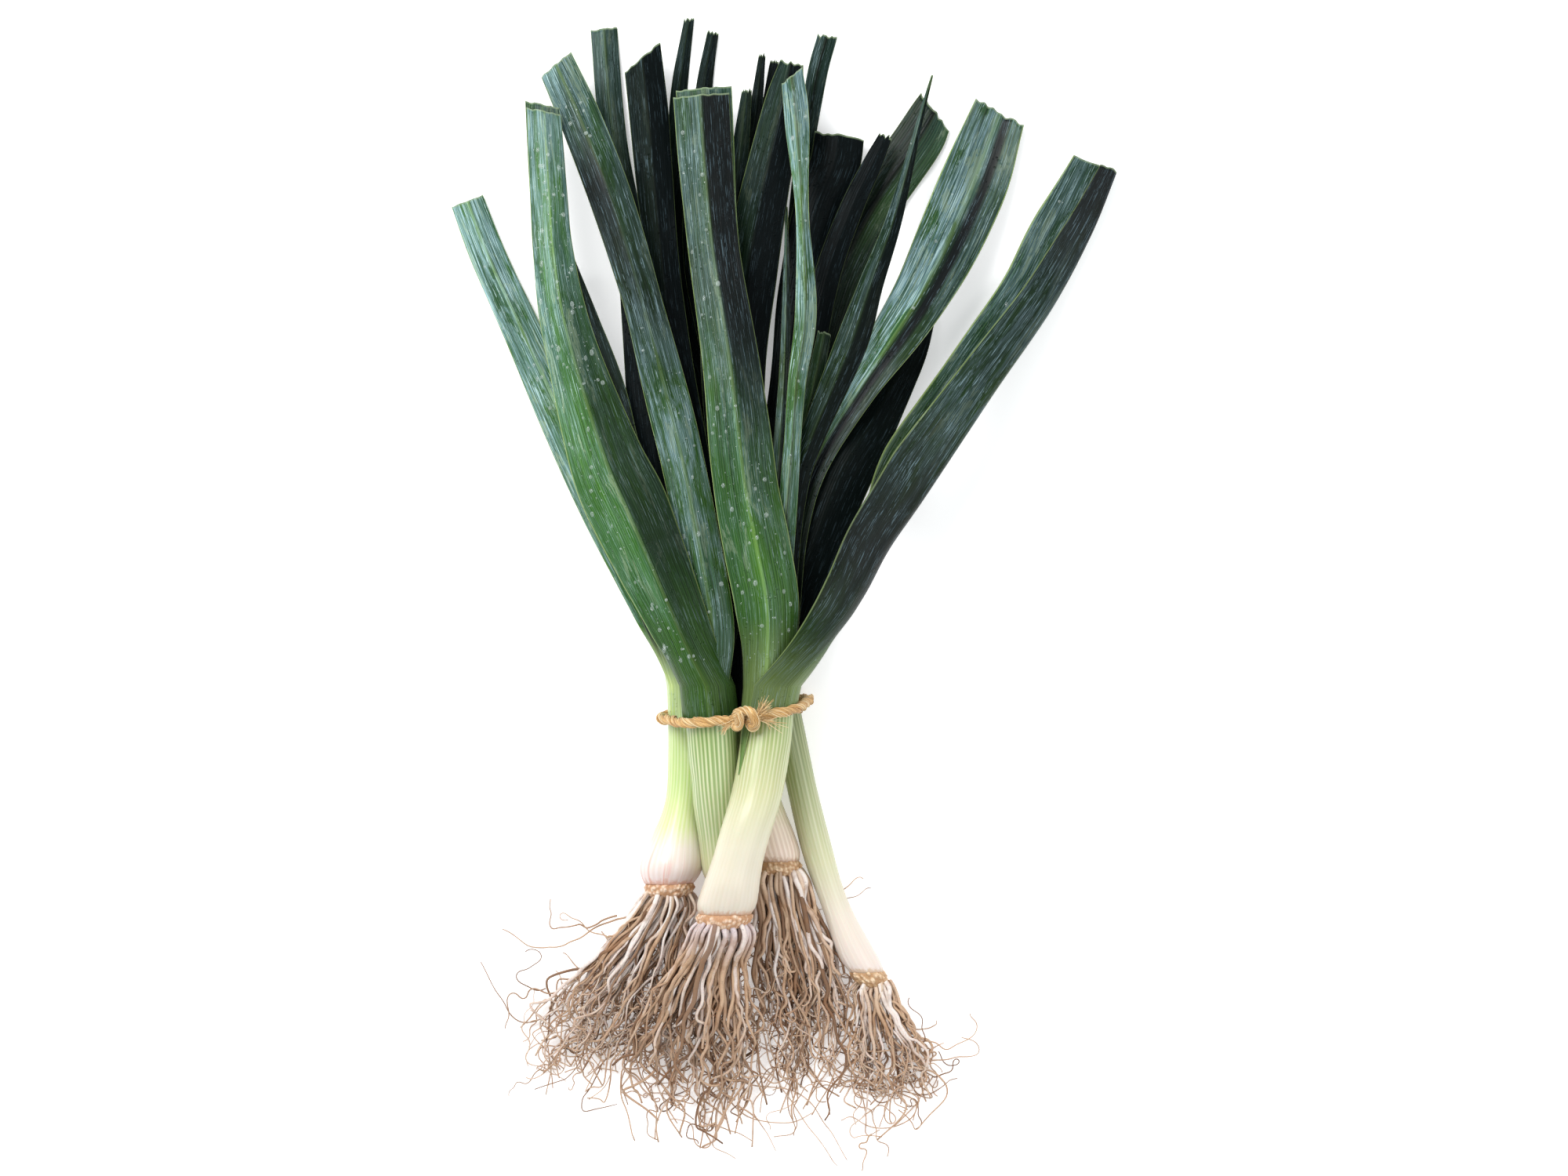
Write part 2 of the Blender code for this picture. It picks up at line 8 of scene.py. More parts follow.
import bpy
import numpy as np
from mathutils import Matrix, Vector


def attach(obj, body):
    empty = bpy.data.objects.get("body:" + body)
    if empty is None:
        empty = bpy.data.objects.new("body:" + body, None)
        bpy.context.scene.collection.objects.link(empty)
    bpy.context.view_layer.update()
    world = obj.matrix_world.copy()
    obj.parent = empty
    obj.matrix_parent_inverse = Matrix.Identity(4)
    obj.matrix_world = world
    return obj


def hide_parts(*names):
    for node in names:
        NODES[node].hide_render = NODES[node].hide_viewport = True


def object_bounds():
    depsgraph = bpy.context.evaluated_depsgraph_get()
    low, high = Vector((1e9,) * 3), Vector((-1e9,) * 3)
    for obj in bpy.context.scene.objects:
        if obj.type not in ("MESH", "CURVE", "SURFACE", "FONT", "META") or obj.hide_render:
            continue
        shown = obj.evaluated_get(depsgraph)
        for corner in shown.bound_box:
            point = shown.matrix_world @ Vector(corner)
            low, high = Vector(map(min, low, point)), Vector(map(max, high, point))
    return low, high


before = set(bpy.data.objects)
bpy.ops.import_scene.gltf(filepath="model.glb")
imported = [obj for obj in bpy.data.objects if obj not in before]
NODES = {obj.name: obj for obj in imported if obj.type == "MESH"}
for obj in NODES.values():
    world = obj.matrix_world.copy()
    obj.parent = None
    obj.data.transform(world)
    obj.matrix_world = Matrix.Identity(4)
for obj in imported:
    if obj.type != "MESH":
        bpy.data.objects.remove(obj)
CAD_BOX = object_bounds()

MM = 0.001
PLANTS = "abcde"

# Measures that the CAD model was made with, and the length of a turn of the twine's strands
GAP = 0.0003
LEAF_START = 0.0150
CAD_LEAF_ROWS = 11
TWINE_DIAMETER = 0.0066
TIE_BAND = 0.009
TIE_SLOPE = 0.12
TIE_TILT = 0.004
TWINE_LAY = 0.034
KNOT_PLACE = 0.003

# Fineness of the visible meshes
LEAF_ROWS = 150
LEAF_COLUMNS = 37
SHAFT_SIDES = 120
SHAFT_ROWS = 150
ROOT_SAMPLES = 60

# Thickness of a blade at its margins, what its rib and its body add, and its lengthwise pleats
MARGIN, RIB, BODY = 0.0004, 0.0006, 0.0002
PLEAT, PLEATS = 0.00005, 9

# Painted light left on a blade's most shaded half, and how sharply it falls with the painted shade
DARKEST, CONTRAST = 0.12, 2.2

# Lengthwise ribs of the shafts, how much of the shaft's girth one takes, and the edge of a sheath
RIB_HEIGHT, RIB_WIDTH, SHEATH_EDGE = 0.00004, 0.0016, 0.00035

# The twine's samples, its strands, the fibres of each, and the knot's samples and turns
TWINE_SAMPLES, TWINE_STRANDS, TWINE_FIBRES = 420, 3, 12
KNOT_SAMPLES, KNOT_TURNS = 110, 2

# How far strands may run past the CAD box at the sides and at the root end
SIDE_ROOM, END_ROOM = 0.012, 0.020

FLOOR_DROP = 0.0002
rng = np.random.default_rng(11)


# Measures taken from the CAD nodes

def node_points(name):
    """The points of a CAD node's mesh."""
    mesh = NODES[name].data
    points = np.empty(3 * len(mesh.vertices))
    mesh.vertices.foreach_get("co", points)
    return points.reshape(-1, 3)


def node_rings(name):
    """The rings a CAD loft was made from: their y, and the low and high x and z of each."""
    points = node_points(name)
    found = {}
    for point in points:
        found.setdefault(round(point[1] * 10000), []).append(point)
    rings = []
    for key in sorted(found, reverse=True):
        ring = np.array(found[key])
        rings.append([ring[0, 1], ring[:, 0].min(), ring[:, 0].max(), ring[:, 2].min(), ring[:, 2].max()])
    return np.array(rings)


CORNER = math.cos(math.radians(15))


def round_line(name):
    """Centre line and radius of a round CAD loft whose rings have their corners off the axes."""
    rings = node_rings(name)
    radius = (rings[:, 2] - rings[:, 1]) / 2 / CORNER
    return {"y": rings[:, 0], "x": (rings[:, 1] + rings[:, 2]) / 2, "z": rings[:, 4] - radius * CORNER,
            "radius": radius}


LINES = {plant: round_line(f"leek_{plant}_shaft") for plant in PLANTS}
SHIFT_X = LINES["c"]["x"][0] - 0.020
SHIFT_Y = LINES["c"]["y"][0] - (LEAF_START - 2 * GAP)


def along_line(line, y, key):
    """A measure of a round line at the given y."""
    return np.interp(y, line["y"][::-1], line[key][::-1])


# Curves and meshes

def unit(vectors):
    """The vectors at length 1."""
    return vectors / np.maximum(np.linalg.norm(vectors, axis=-1, keepdims=True), 1e-12)


def running(steps):
    """The distance covered before the first step and after each one."""
    return np.concatenate([[0], np.cumsum(steps)])


def circle(sides):
    """Even turns all the way round."""
    return np.linspace(0, 2 * math.pi, sides, endpoint=False)


def smooth_path(points, samples):
    """A smooth line through the points, with the given number of samples."""
    rows = np.array(points, dtype=float)
    padded = np.vstack([2 * rows[0] - rows[1], rows, 2 * rows[-1] - rows[-2]])
    places = np.linspace(0, len(rows) - 1, samples)
    index = np.minimum(places.astype(int), len(rows) - 2)
    t = (places - index)[:, None]
    p0, p1, p2, p3 = padded[index], padded[index + 1], padded[index + 2], padded[index + 3]
    return 0.5 * (2 * p1 + (p2 - p0) * t + (2 * p0 - 5 * p1 + 4 * p2 - p3) * t * t
                  + (3 * p1 - p0 - 3 * p2 + p3) * t ** 3)


def even_path(points, samples, dimensions=2):
    """The smooth line again, with samples at even steps along its first columns."""
    dense = smooth_path(points, 16 * len(points))
    steps = np.linalg.norm(np.diff(dense[:, :dimensions], axis=0), axis=1)
    along = running(steps)
    places = np.linspace(0, along[-1], samples)
    return np.column_stack([np.interp(places, along, dense[:, k]) for k in range(dense.shape[1])])


def smoothstep(value):
    value = np.clip(value, 0, 1)
    return value * value * (3 - 2 * value)


def wander(count, scale, seed):
    """A smooth random line of count samples, with about one bump per scale samples."""
    knots = max(4, int(count / scale) + 3)
    values = np.random.default_rng(seed).normal(size=knots)
    return smooth_path(values[:, None], count)[:, 0]


def grid_faces(rows, columns, around=False, first=0):
    """Four-sided faces over a grid of points, whose columns may close to a ring."""
    r = np.arange(rows - 1)[:, None]
    c = np.arange(columns if around else columns - 1)[None, :]
    after = (c + 1) % columns
    a, b = r * columns + c, r * columns + after
    return (np.stack([a, b, b + columns, a + columns], axis=-1).reshape(-1, 4) + first).tolist()


def around_line(x, y, z, out, turn):
    """Rows of points at the distance out from a line, at the given turns round it."""
    across = out * np.cos(turn)
    over = out * np.sin(turn)
    return np.stack([x[:, None] + across, y[:, None] + 0 * across, z[:, None] + over], axis=-1)


def turned_form(x, y, z, out, sides):
    """Points and faces of a closed round form along a line, kept above the floor."""
    points = around_line(x, y, z, out, circle(sides)).reshape(-1, 3)
    points[:, 2] = np.maximum(points[:, 2], 0.0)
    faces = [face[::-1] for face in grid_faces(len(y), sides, around=True)]
    return points, faces + [list(range(sides)), list(range(len(points) - 1, len(points) - sides - 1, -1))]


def put(name, data):
    """An object in the scene."""
    made = bpy.data.objects.new(name, data)
    bpy.context.scene.collection.objects.link(made)
    return made


def add_mesh(name, points, faces, material, attributes=None):
    """A smooth mesh with named measures at its points."""
    mesh = bpy.data.meshes.new(name)
    mesh.from_pydata(np.asarray(points).tolist(), [], faces)
    for key, values in (attributes or {}).items():
        values = np.asarray(values, dtype=np.float32)
        kind = "FLOAT_VECTOR" if values.ndim == 2 else "FLOAT"
        made = mesh.attributes.new(key, kind, "POINT")
        made.data.foreach_set("vector" if values.ndim == 2 else "value", values.ravel())
    mesh.shade_smooth()
    mesh.materials.append(material)
    return put(name, mesh)


def tubes(paths, radii, sides):
    """Points and faces of closed tubes along many paths of equal sample count."""
    paths = np.asarray(paths)
    count, samples = paths.shape[:2]
    ahead = unit(np.gradient(paths, axis=1))
    side = unit(np.cross(ahead, [0.15, 0.0, 1.0]))
    over = np.cross(side, ahead)
    turn = circle(sides)[:, None]
    ring = side[:, :, None] * np.cos(turn) + over[:, :, None] * np.sin(turn)
    points = paths[:, :, None] + ring * np.asarray(radii)[:, :, None, None]
    faces = []
    one = np.array(grid_faces(samples, sides, around=True))
    for k in range(count):
        first = k * samples * sides
        last = first + (samples - 1) * sides
        faces.extend((one + first).tolist())
        faces.append(list(range(first, first + sides))[::-1])
        faces.append(list(range(last, last + sides)))
    return points.reshape(-1, 3), faces


# Shader helpers

def linear(code):
    """The linear colour behind a screen colour such as "6A8C2E"."""
    shares = [int(code[k:k + 2], 16) / 255 for k in (0, 2, 4)]
    return (*(v / 12.92 if v <= 0.04045 else ((v + 0.055) / 1.055) ** 2.4 for v in shares), 1)


class Shader:
    """A node material under construction; colours are screen colours such as "6A8C2E"."""

    def __init__(self, name):
        self.material = bpy.data.materials.new(name)
        self.material.use_nodes = True
        self.tree = self.material.node_tree
        self.principled = self.tree.nodes["Principled BSDF"]

    def node(self, kind, output=0, inputs=None, **settings):
        made = self.tree.nodes.new("ShaderNode" + kind)
        for key, value in settings.items():
            setattr(made, key, value)
        for key, value in (inputs or {}).items():
            self.feed(made.inputs[key], value)
        return made.outputs[output]

    def feed(self, socket, value):
        if isinstance(value, bpy.types.NodeSocket):
            self.tree.links.new(value, socket)
        else:
            socket.default_value = linear(value) if isinstance(value, str) else value

    def attribute(self, name, output="Fac"):
        return self.node("Attribute", output, attribute_name=name)

    def math(self, operation, a, b=0.0, clamp=False):
        return self.node("Math", inputs={0: a, 1: b}, operation=operation, use_clamp=clamp)

    def times(self, a, b, clamp=False):
        return self.math("MULTIPLY", a, b, clamp)

    def plus(self, a, b, clamp=False):
        return self.math("ADD", a, b, clamp)

    def minus(self, a, b, clamp=False):
        return self.math("SUBTRACT", a, b, clamp)

    def mix(self, share, a, b):
        return self.node("Mix", 2, {0: share, 6: a, 7: b}, data_type="RGBA")

    def tint(self, colour, other, value, low, high, most=1.0):
        """The colour turned towards another, by a share that grows to most as the value nears high."""
        share = self.step(value, low, high)
        return self.mix(share if most == 1.0 else self.times(share, most), colour, other)

    def scaled(self, vector, scale):
        return self.node("VectorMath", 0, {0: vector, 1: scale}, operation="MULTIPLY")

    def noise(self, vector, scale=1.0, detail=3.0, roughness=0.5, distortion=0.0):
        return self.node("TexNoise", 0, {"Vector": vector, "Scale": scale, "Detail": detail,
                                         "Roughness": roughness, "Distortion": distortion})

    def grain(self, flat, across, along, detail=3.0, roughness=0.5, distortion=0.0):
        """Noise stretched along a piece: how fine it is across and along."""
        return self.noise(self.scaled(flat, (across, along, 1)), 1.0, detail, roughness, distortion)

    def spots(self, flat, across, along):
        vector = self.scaled(flat, (across, along, 1))
        return self.node("TexVoronoi", 0, {"Vector": vector, "Scale": 1.0, "Randomness": 1.0})

    def ramp(self, share, stops):
        made = self.tree.nodes.new("ShaderNodeValToRGB")
        elements = made.color_ramp.elements
        while len(elements) < len(stops):
            elements.new(0.5)
        for element, (place, colour) in zip(elements, stops.items()):
            element.position = place
            element.color = linear(colour) if isinstance(colour, str) else (colour, colour, colour, 1)
        self.feed(made.inputs[0], share)
        return made.outputs[0]

    def step(self, value, low, high):
        """0 at low, 1 at high and beyond, and even in between."""
        return self.node("MapRange", 0, {0: value, 1: low, 2: high}, clamp=True)

    def bump(self, height, strength, distance, normal=None):
        inputs = {"Height": height, "Strength": strength, "Distance": distance}
        if normal is not None:
            inputs["Normal"] = normal
        return self.node("Bump", 0, inputs)

    def finish(self, colour, roughness, normal=None, **constants):
        self.feed(self.principled.inputs["Base Color"], colour)
        self.feed(self.principled.inputs["Roughness"], roughness)
        if normal is not None:
            self.feed(self.principled.inputs["Normal"], normal)
        for key, value in constants.items():
            self.principled.inputs[key.replace("_", " ")].default_value = value
        return self.material


# Materials

def leaf_material(name, specular, coat):
    """Waxy green blade: parallel veins, bluish bloom in broken streaks that is in part a painted reflection
    of the lamp, washed patches, pale margins, and painted shade on the halves turned from the lamp.
    """
    s = Shader(name)
    flat = s.attribute("flat", "Vector")
    along = s.step(s.attribute("along"), 0, 0.36)
    across = s.math("ABSOLUTE", s.attribute("across"))
    bloom = s.attribute("bloom")
    tip = s.attribute("tip")
    pale = s.attribute("pale")
    sideways = s.math("ABSOLUTE", s.node("SeparateXYZ", 0, {0: flat}))
    streaks = s.grain(flat, 1100, 10, 4, 0.62)
    fine = s.grain(flat, 2300, 34, 3, 0.6)
    broken = s.grain(flat, 700, 110, 4, 0.65, 0.4)
    patches = s.grain(flat, 120, 20, 6, 0.68, 0.7)
    broad = s.grain(flat, 55, 9, 2)
    # Painted shade: the "light" measure dims each blade half that the lamp leaves in shade, broken up by
    # the streaks
    light = s.times(s.attribute("light"), s.plus(0.62, s.times(streaks, 0.76)))
    base = s.ramp(along, {0.0: "3E621E", 0.05: "325A1A", 0.16: "2A561C", 0.42: "244A22", 0.75: "203E2E",
                          1.0: "2A483E"})
    base = s.tint(base, "3E681E", broad, 0.45, 0.68, 0.6)
    base = s.tint(base, "103014", streaks, 0.52, 0.36, 0.6)
    base = s.tint(base, "608654", streaks, 0.60, 0.70, 0.45)
    pale_colour = s.tint("B0C870", "D0DEA0", streaks, 0.4, 0.65)
    base = s.mix(s.times(pale, s.step(along, 0.11, 0.0)), base, pale_colour)
    # Bluish bloom of wax, which in part is a painted reflection of the lamp on the halves that face it
    veil_colour = s.tint("48686C", "8EAAB4", fine, 0.35, 0.65)
    veil = s.times(s.times(bloom, s.step(patches, 0.42, 0.54)), 0.72, clamp=True)
    veil = s.times(veil, s.plus(0.25, s.times(s.step(streaks, 0.38, 0.56), 0.75)))
    veil = s.times(veil, s.plus(0.55, s.times(s.step(fine, 0.42, 0.58), 0.45)))
    colour = s.mix(veil, base, veil_colour)
    lines = s.times(s.step(fine, 0.56, 0.63), s.step(broken, 0.46, 0.54))
    lines = s.times(lines, s.plus(0.18, s.times(bloom, 0.70)), clamp=True)
    colour = s.mix(lines, colour, "ACC6BE")
    washed = s.times(s.step(patches, 0.580, 0.592), s.step(broken, 0.40, 0.46))
    washed = s.times(washed, s.times(s.step(along, 0.10, 0.25), 0.42))
    colour = s.mix(washed, colour, "84967A")
    vein = s.node("TexWave", 1, {"Vector": s.scaled(flat, (1, 0.0, 0)), "Scale": 230.0,
                                 "Distortion": 0.5, "Detail": 1.0}, bands_direction="X")
    colour = s.tint(colour, "96B078", vein, 0.7, 1.0, 0.12)
    rib = s.step(sideways, 0.0016, 0.0)
    colour = s.mix(s.times(rib, 0.30), colour, "809E54")
    # Painted shade: the colour is scaled by the painted light and turned towards near-black where that is
    # low
    shaded = s.node("VectorMath", 0, {0: colour, 3: light}, operation="SCALE")
    colour = s.mix(s.minus(1.0, light, clamp=True), shaded, "0B1011")
    colour = s.tint(colour, shaded, light, 0.0, 0.5)
    colour = s.mix(s.times(lines, 0.45), colour, "76929E")
    # Pale margins, dimmed to dark green where the blade has painted shade
    edge = s.step(across, 0.965, 0.988)
    edge_colour = s.mix(s.plus(0.2, s.times(light, 0.9), clamp=True), "16221A", "A0B670")
    colour = s.mix(s.times(edge, 0.75), colour, edge_colour)
    colour = s.tint(colour, "96A884", tip, 0.0012, 0.0004, 0.6)
    beads = s.spots(flat, 430, 430)
    bead_area = s.step(s.grain(flat, 90, 50, 2), 0.50, 0.60)
    bead = s.times(s.step(beads, 0.28, 0.05), bead_area)
    roughness = s.plus(0.34, s.times(veil, 0.25))
    roughness = s.minus(roughness, s.times(bead, 0.24))
    normal = s.bump(vein, 0.16, 0.0003)
    normal = s.bump(streaks, 0.22, 0.0004, normal)
    normal = s.bump(bead, 0.9, 0.0005, normal)
    return s.finish(colour, roughness, normal,
                    Coat_Weight=coat, Coat_Roughness=0.1, Specular_IOR_Level=specular)


def shaft_material(name, ground, stripe, stripe_share, stain, blush=None):
    """Moist wrapped sheaths: fine lengthwise ribs and stripes, green at the tie and pale at the bulb."""
    s = Shader(name)
    flat = s.attribute("flat", "Vector")
    along = s.step(s.attribute("along"), 0.0, 0.16)
    base = s.ramp(along, ground)
    line = s.ramp(along, stripe)
    share = s.ramp(along, stripe_share)
    waver = s.grain(flat, 60, 20, 1)
    across = s.plus(s.node("SeparateXYZ", 0, {0: flat}), s.times(waver, 0.0003))
    ribs = s.node("TexWave", 1, {"Vector": s.node("CombineXYZ", 0, {0: across}), "Scale": 132.0},
                  bands_direction="X")
    streaks = s.grain(flat, 1500, 9, 3, 0.6)
    broad = s.grain(flat, 150, 12, 3)
    amount = s.times(s.times(s.step(ribs, 0.30, 0.75), s.step(streaks, 0.30, 0.52)), share)
    colour = s.mix(amount, base, line)
    colour = s.tint(colour, line, broad, 0.46, 0.75, 0.35)
    if blush is not None:
        pink = s.step(s.grain(flat, 520, 14, 3), 0.54, 0.66)
        pink = s.times(pink, s.ramp(along, {0.0: 0.0, 0.42: 0.0, 0.55: 0.5, 0.66: 0.75}))
        colour = s.mix(pink, colour, blush)
    specks = s.spots(flat, 620, 260)
    colour = s.tint(colour, "967854", specks, 0.085, 0.04, 0.30)
    ragged = s.grain(flat, 420, 160, 4, 0.7)
    ragged = s.minus(s.attribute("to_disc"), s.times(ragged, 0.011))
    colour = s.tint(colour, stain, ragged, -0.0022, -0.0046, 0.6)
    normal = s.bump(ribs, 0.12, 0.0003)
    normal = s.bump(streaks, 0.20, 0.0004, normal)
    return s.finish(colour, s.plus(0.30, s.times(broad, 0.2)), normal,
                    Coat_Weight=0.2, Coat_Roughness=0.15, Subsurface_Weight=0.12, Subsurface_Scale=0.006)


# For each shaft: its ground and its stripes from the tie to the bulb, how strong the stripes are, the stain
# at the disc, and a blush if it has one
SHEATHS = {
    "a": ({0.0: "ACC278", 0.25: "B6CE80", 0.42: "CED896", 0.50: "E0D6C8", 0.68: "DEC6C6"},
          {0.0: "D0DCB4", 0.35: "D4DEA8", 0.5: "E8E0DA", 0.68: "E6D6D6"},
          {0.0: 0.9, 1.0: 0.5}, "C6845C", "D69682"),
    "b": ({0.0: "60823E", 0.12: "7E9856", 0.45: "9CAC76", 0.56: "C4C694", 0.65: "DED4B4"},
          {0.0: "B2C084", 0.2: "CED6AA", 0.6: "E6DEC4"},
          {0.0: 0.9, 0.2: 0.9, 0.45: 0.6, 0.6: 0.25}, "BE966E"),
    "c": ({0.0: "768E46", 0.10: "92A260", 0.28: "BABC8A", 0.48: "D4CEB6", 0.75: "D4C8B8", 0.9: "CCBAAA"},
          {0.0: "BAC290", 0.3: "D4D2B2", 0.6: "DED6C8"},
          {0.0: 0.9, 0.22: 0.8, 0.4: 0.3, 1.0: 0.3}, "BE8458"),
    # The d bulb's colours from 0.42 on are toned down a little: painted shade from the c shaft beside it
    "d": ({0.0: "96A860", 0.3: "C4C896", 0.42: "D0BCA8", 0.6: "D4BAA8"},
          {0.0: "CED6A0", 0.5: "EEDED0"},
          {0.0: 0.7, 1.0: 0.5}, "966C48"),
    "e": ({0.0: "62703C", 0.25: "909A68", 0.55: "C4C49C", 0.75: "DACEC0", 1.0: "DCCCC4"},
          {0.0: "9EA876", 0.5: "D0D0B2", 1.0: "E2D8D2"},
          {0.0: 0.7, 1.0: 0.4}, "BA9264"),
}


def root_material(name, fresh):
    """Root skin: fresh and pale where it leaves the disc, then tan, with brown stains and specks."""
    s = Shader(name)
    along = s.attribute("along")
    tint = s.attribute("tint")
    place = s.node("TexCoord", 3)
    speckle = s.noise(place, 620.0, 4, 0.65)
    blotch = s.noise(place, 110.0, 3)
    skin = s.ramp(along, {0.0: fresh, 0.2: "C4A486", 0.6: "BC9E84", 1.0: "BA9C82"})
    pale = s.ramp(along, {0.0: "ECE0D8", 0.4: "E2D6D0", 1.0: "C4AA92"})
    colour = s.tint(skin, pale, tint, 0.55, 0.80)
    colour = s.tint(colour, "7A5C46", tint, 0.30, 0.08)
    colour = s.tint(colour, "926846", blotch, 0.50, 0.70, 0.55)
    colour = s.tint(colour, "644834", speckle, 0.56, 0.75, 0.5)
    return s.finish(colour, 0.62, s.bump(speckle, 0.5, 0.0004),
                    Subsurface_Weight=0.06, Subsurface_Scale=0.002, Specular_IOR_Level=0.3)


def plate_material(name, ground, light, dark):
    """Corky ring under the bulb: pale root buds on an orange to brown ground."""
    s = Shader(name)
    place = s.node("TexCoord", 3)
    bud = s.attribute("bud")
    share = s.attribute("share")
    grain = s.noise(place, 900.0, 4, 0.6)
    blotch = s.noise(place, 260.0, 3)
    colour = s.tint(ground, "E2BE96", share, 0.16, 0.02, 0.4)
    colour = s.tint(colour, light, bud, 0.25, 0.85)
    colour = s.tint(colour, ground, blotch, 0.50, 0.66, 0.7)
    colour = s.tint(colour, dark, grain, 0.5, 0.75, 0.6)
    return s.finish(colour, 0.6, s.bump(grain, 0.4, 0.0004), Subsurface_Weight=0.08, Subsurface_Scale=0.002)


def twine_material():
    """Hard natural fibre: golden tan with paler and darker fibres and a slight sheen."""
    s = Shader("twine_fibre")
    tint = s.attribute("tint")
    flat = s.attribute("flat", "Vector")
    fibres = s.grain(flat, 2600, 120, 3, 0.6)
    colour = s.ramp(fibres, {0.3: "7E5428", 0.44: "B88848", 0.56: "D8AC68", 0.72: "F0D69E"})
    colour = s.tint(colour, "ECD4A4", tint, 0.5, 1.0)
    return s.finish(colour, 0.48, s.bump(fibres, 0.7, 0.0004), Sheen_Weight=0.2)


def water_material():
    """Clear, glossy drops that let the blade show through."""
    s = Shader("water_drops")
    return s.finish((0.80, 0.92, 0.88, 1), 0.04, None, Alpha=0.16, Specular_IOR_Level=1.0, Coat_Weight=1.0,
                    Coat_Roughness=0.02)


# Leaves

class Leaf:
    """One blade, and its stations from base to tip in millimetres.

    A station is a place on the midrib seen from above and the half width there, or the widths of the
    right and the left half.
    """

    roof = (15, 15)     # how far both halves turn down from the midrib, in degrees, at base and tip
    tilt = (0, 0)       # how far the midrib itself leans, in degrees, at base and tip
    slant = 0.0         # how far the cut at the tip is off square
    fold = (0.3, 0.3)   # share of a half over which it turns down, at base and further on
    wrap = None         # first and last turn round the shaft, in degrees, and the distance off it
    ease = 0.045        # length over which the base eases into the blade
    hump = 0.0          # height of the swelling above the tie

    def __init__(self, key, stations, **others):
        self.key = key
        self.plant = key[0]
        self.name = f"leek_{key[0]}_leaf_{key[1]}"
        self.stations = [(x + SHIFT_X / MM, y + SHIFT_Y / MM, halves[0], halves[-1])
                         for x, y, *halves in stations]
        vars(self).update(others)


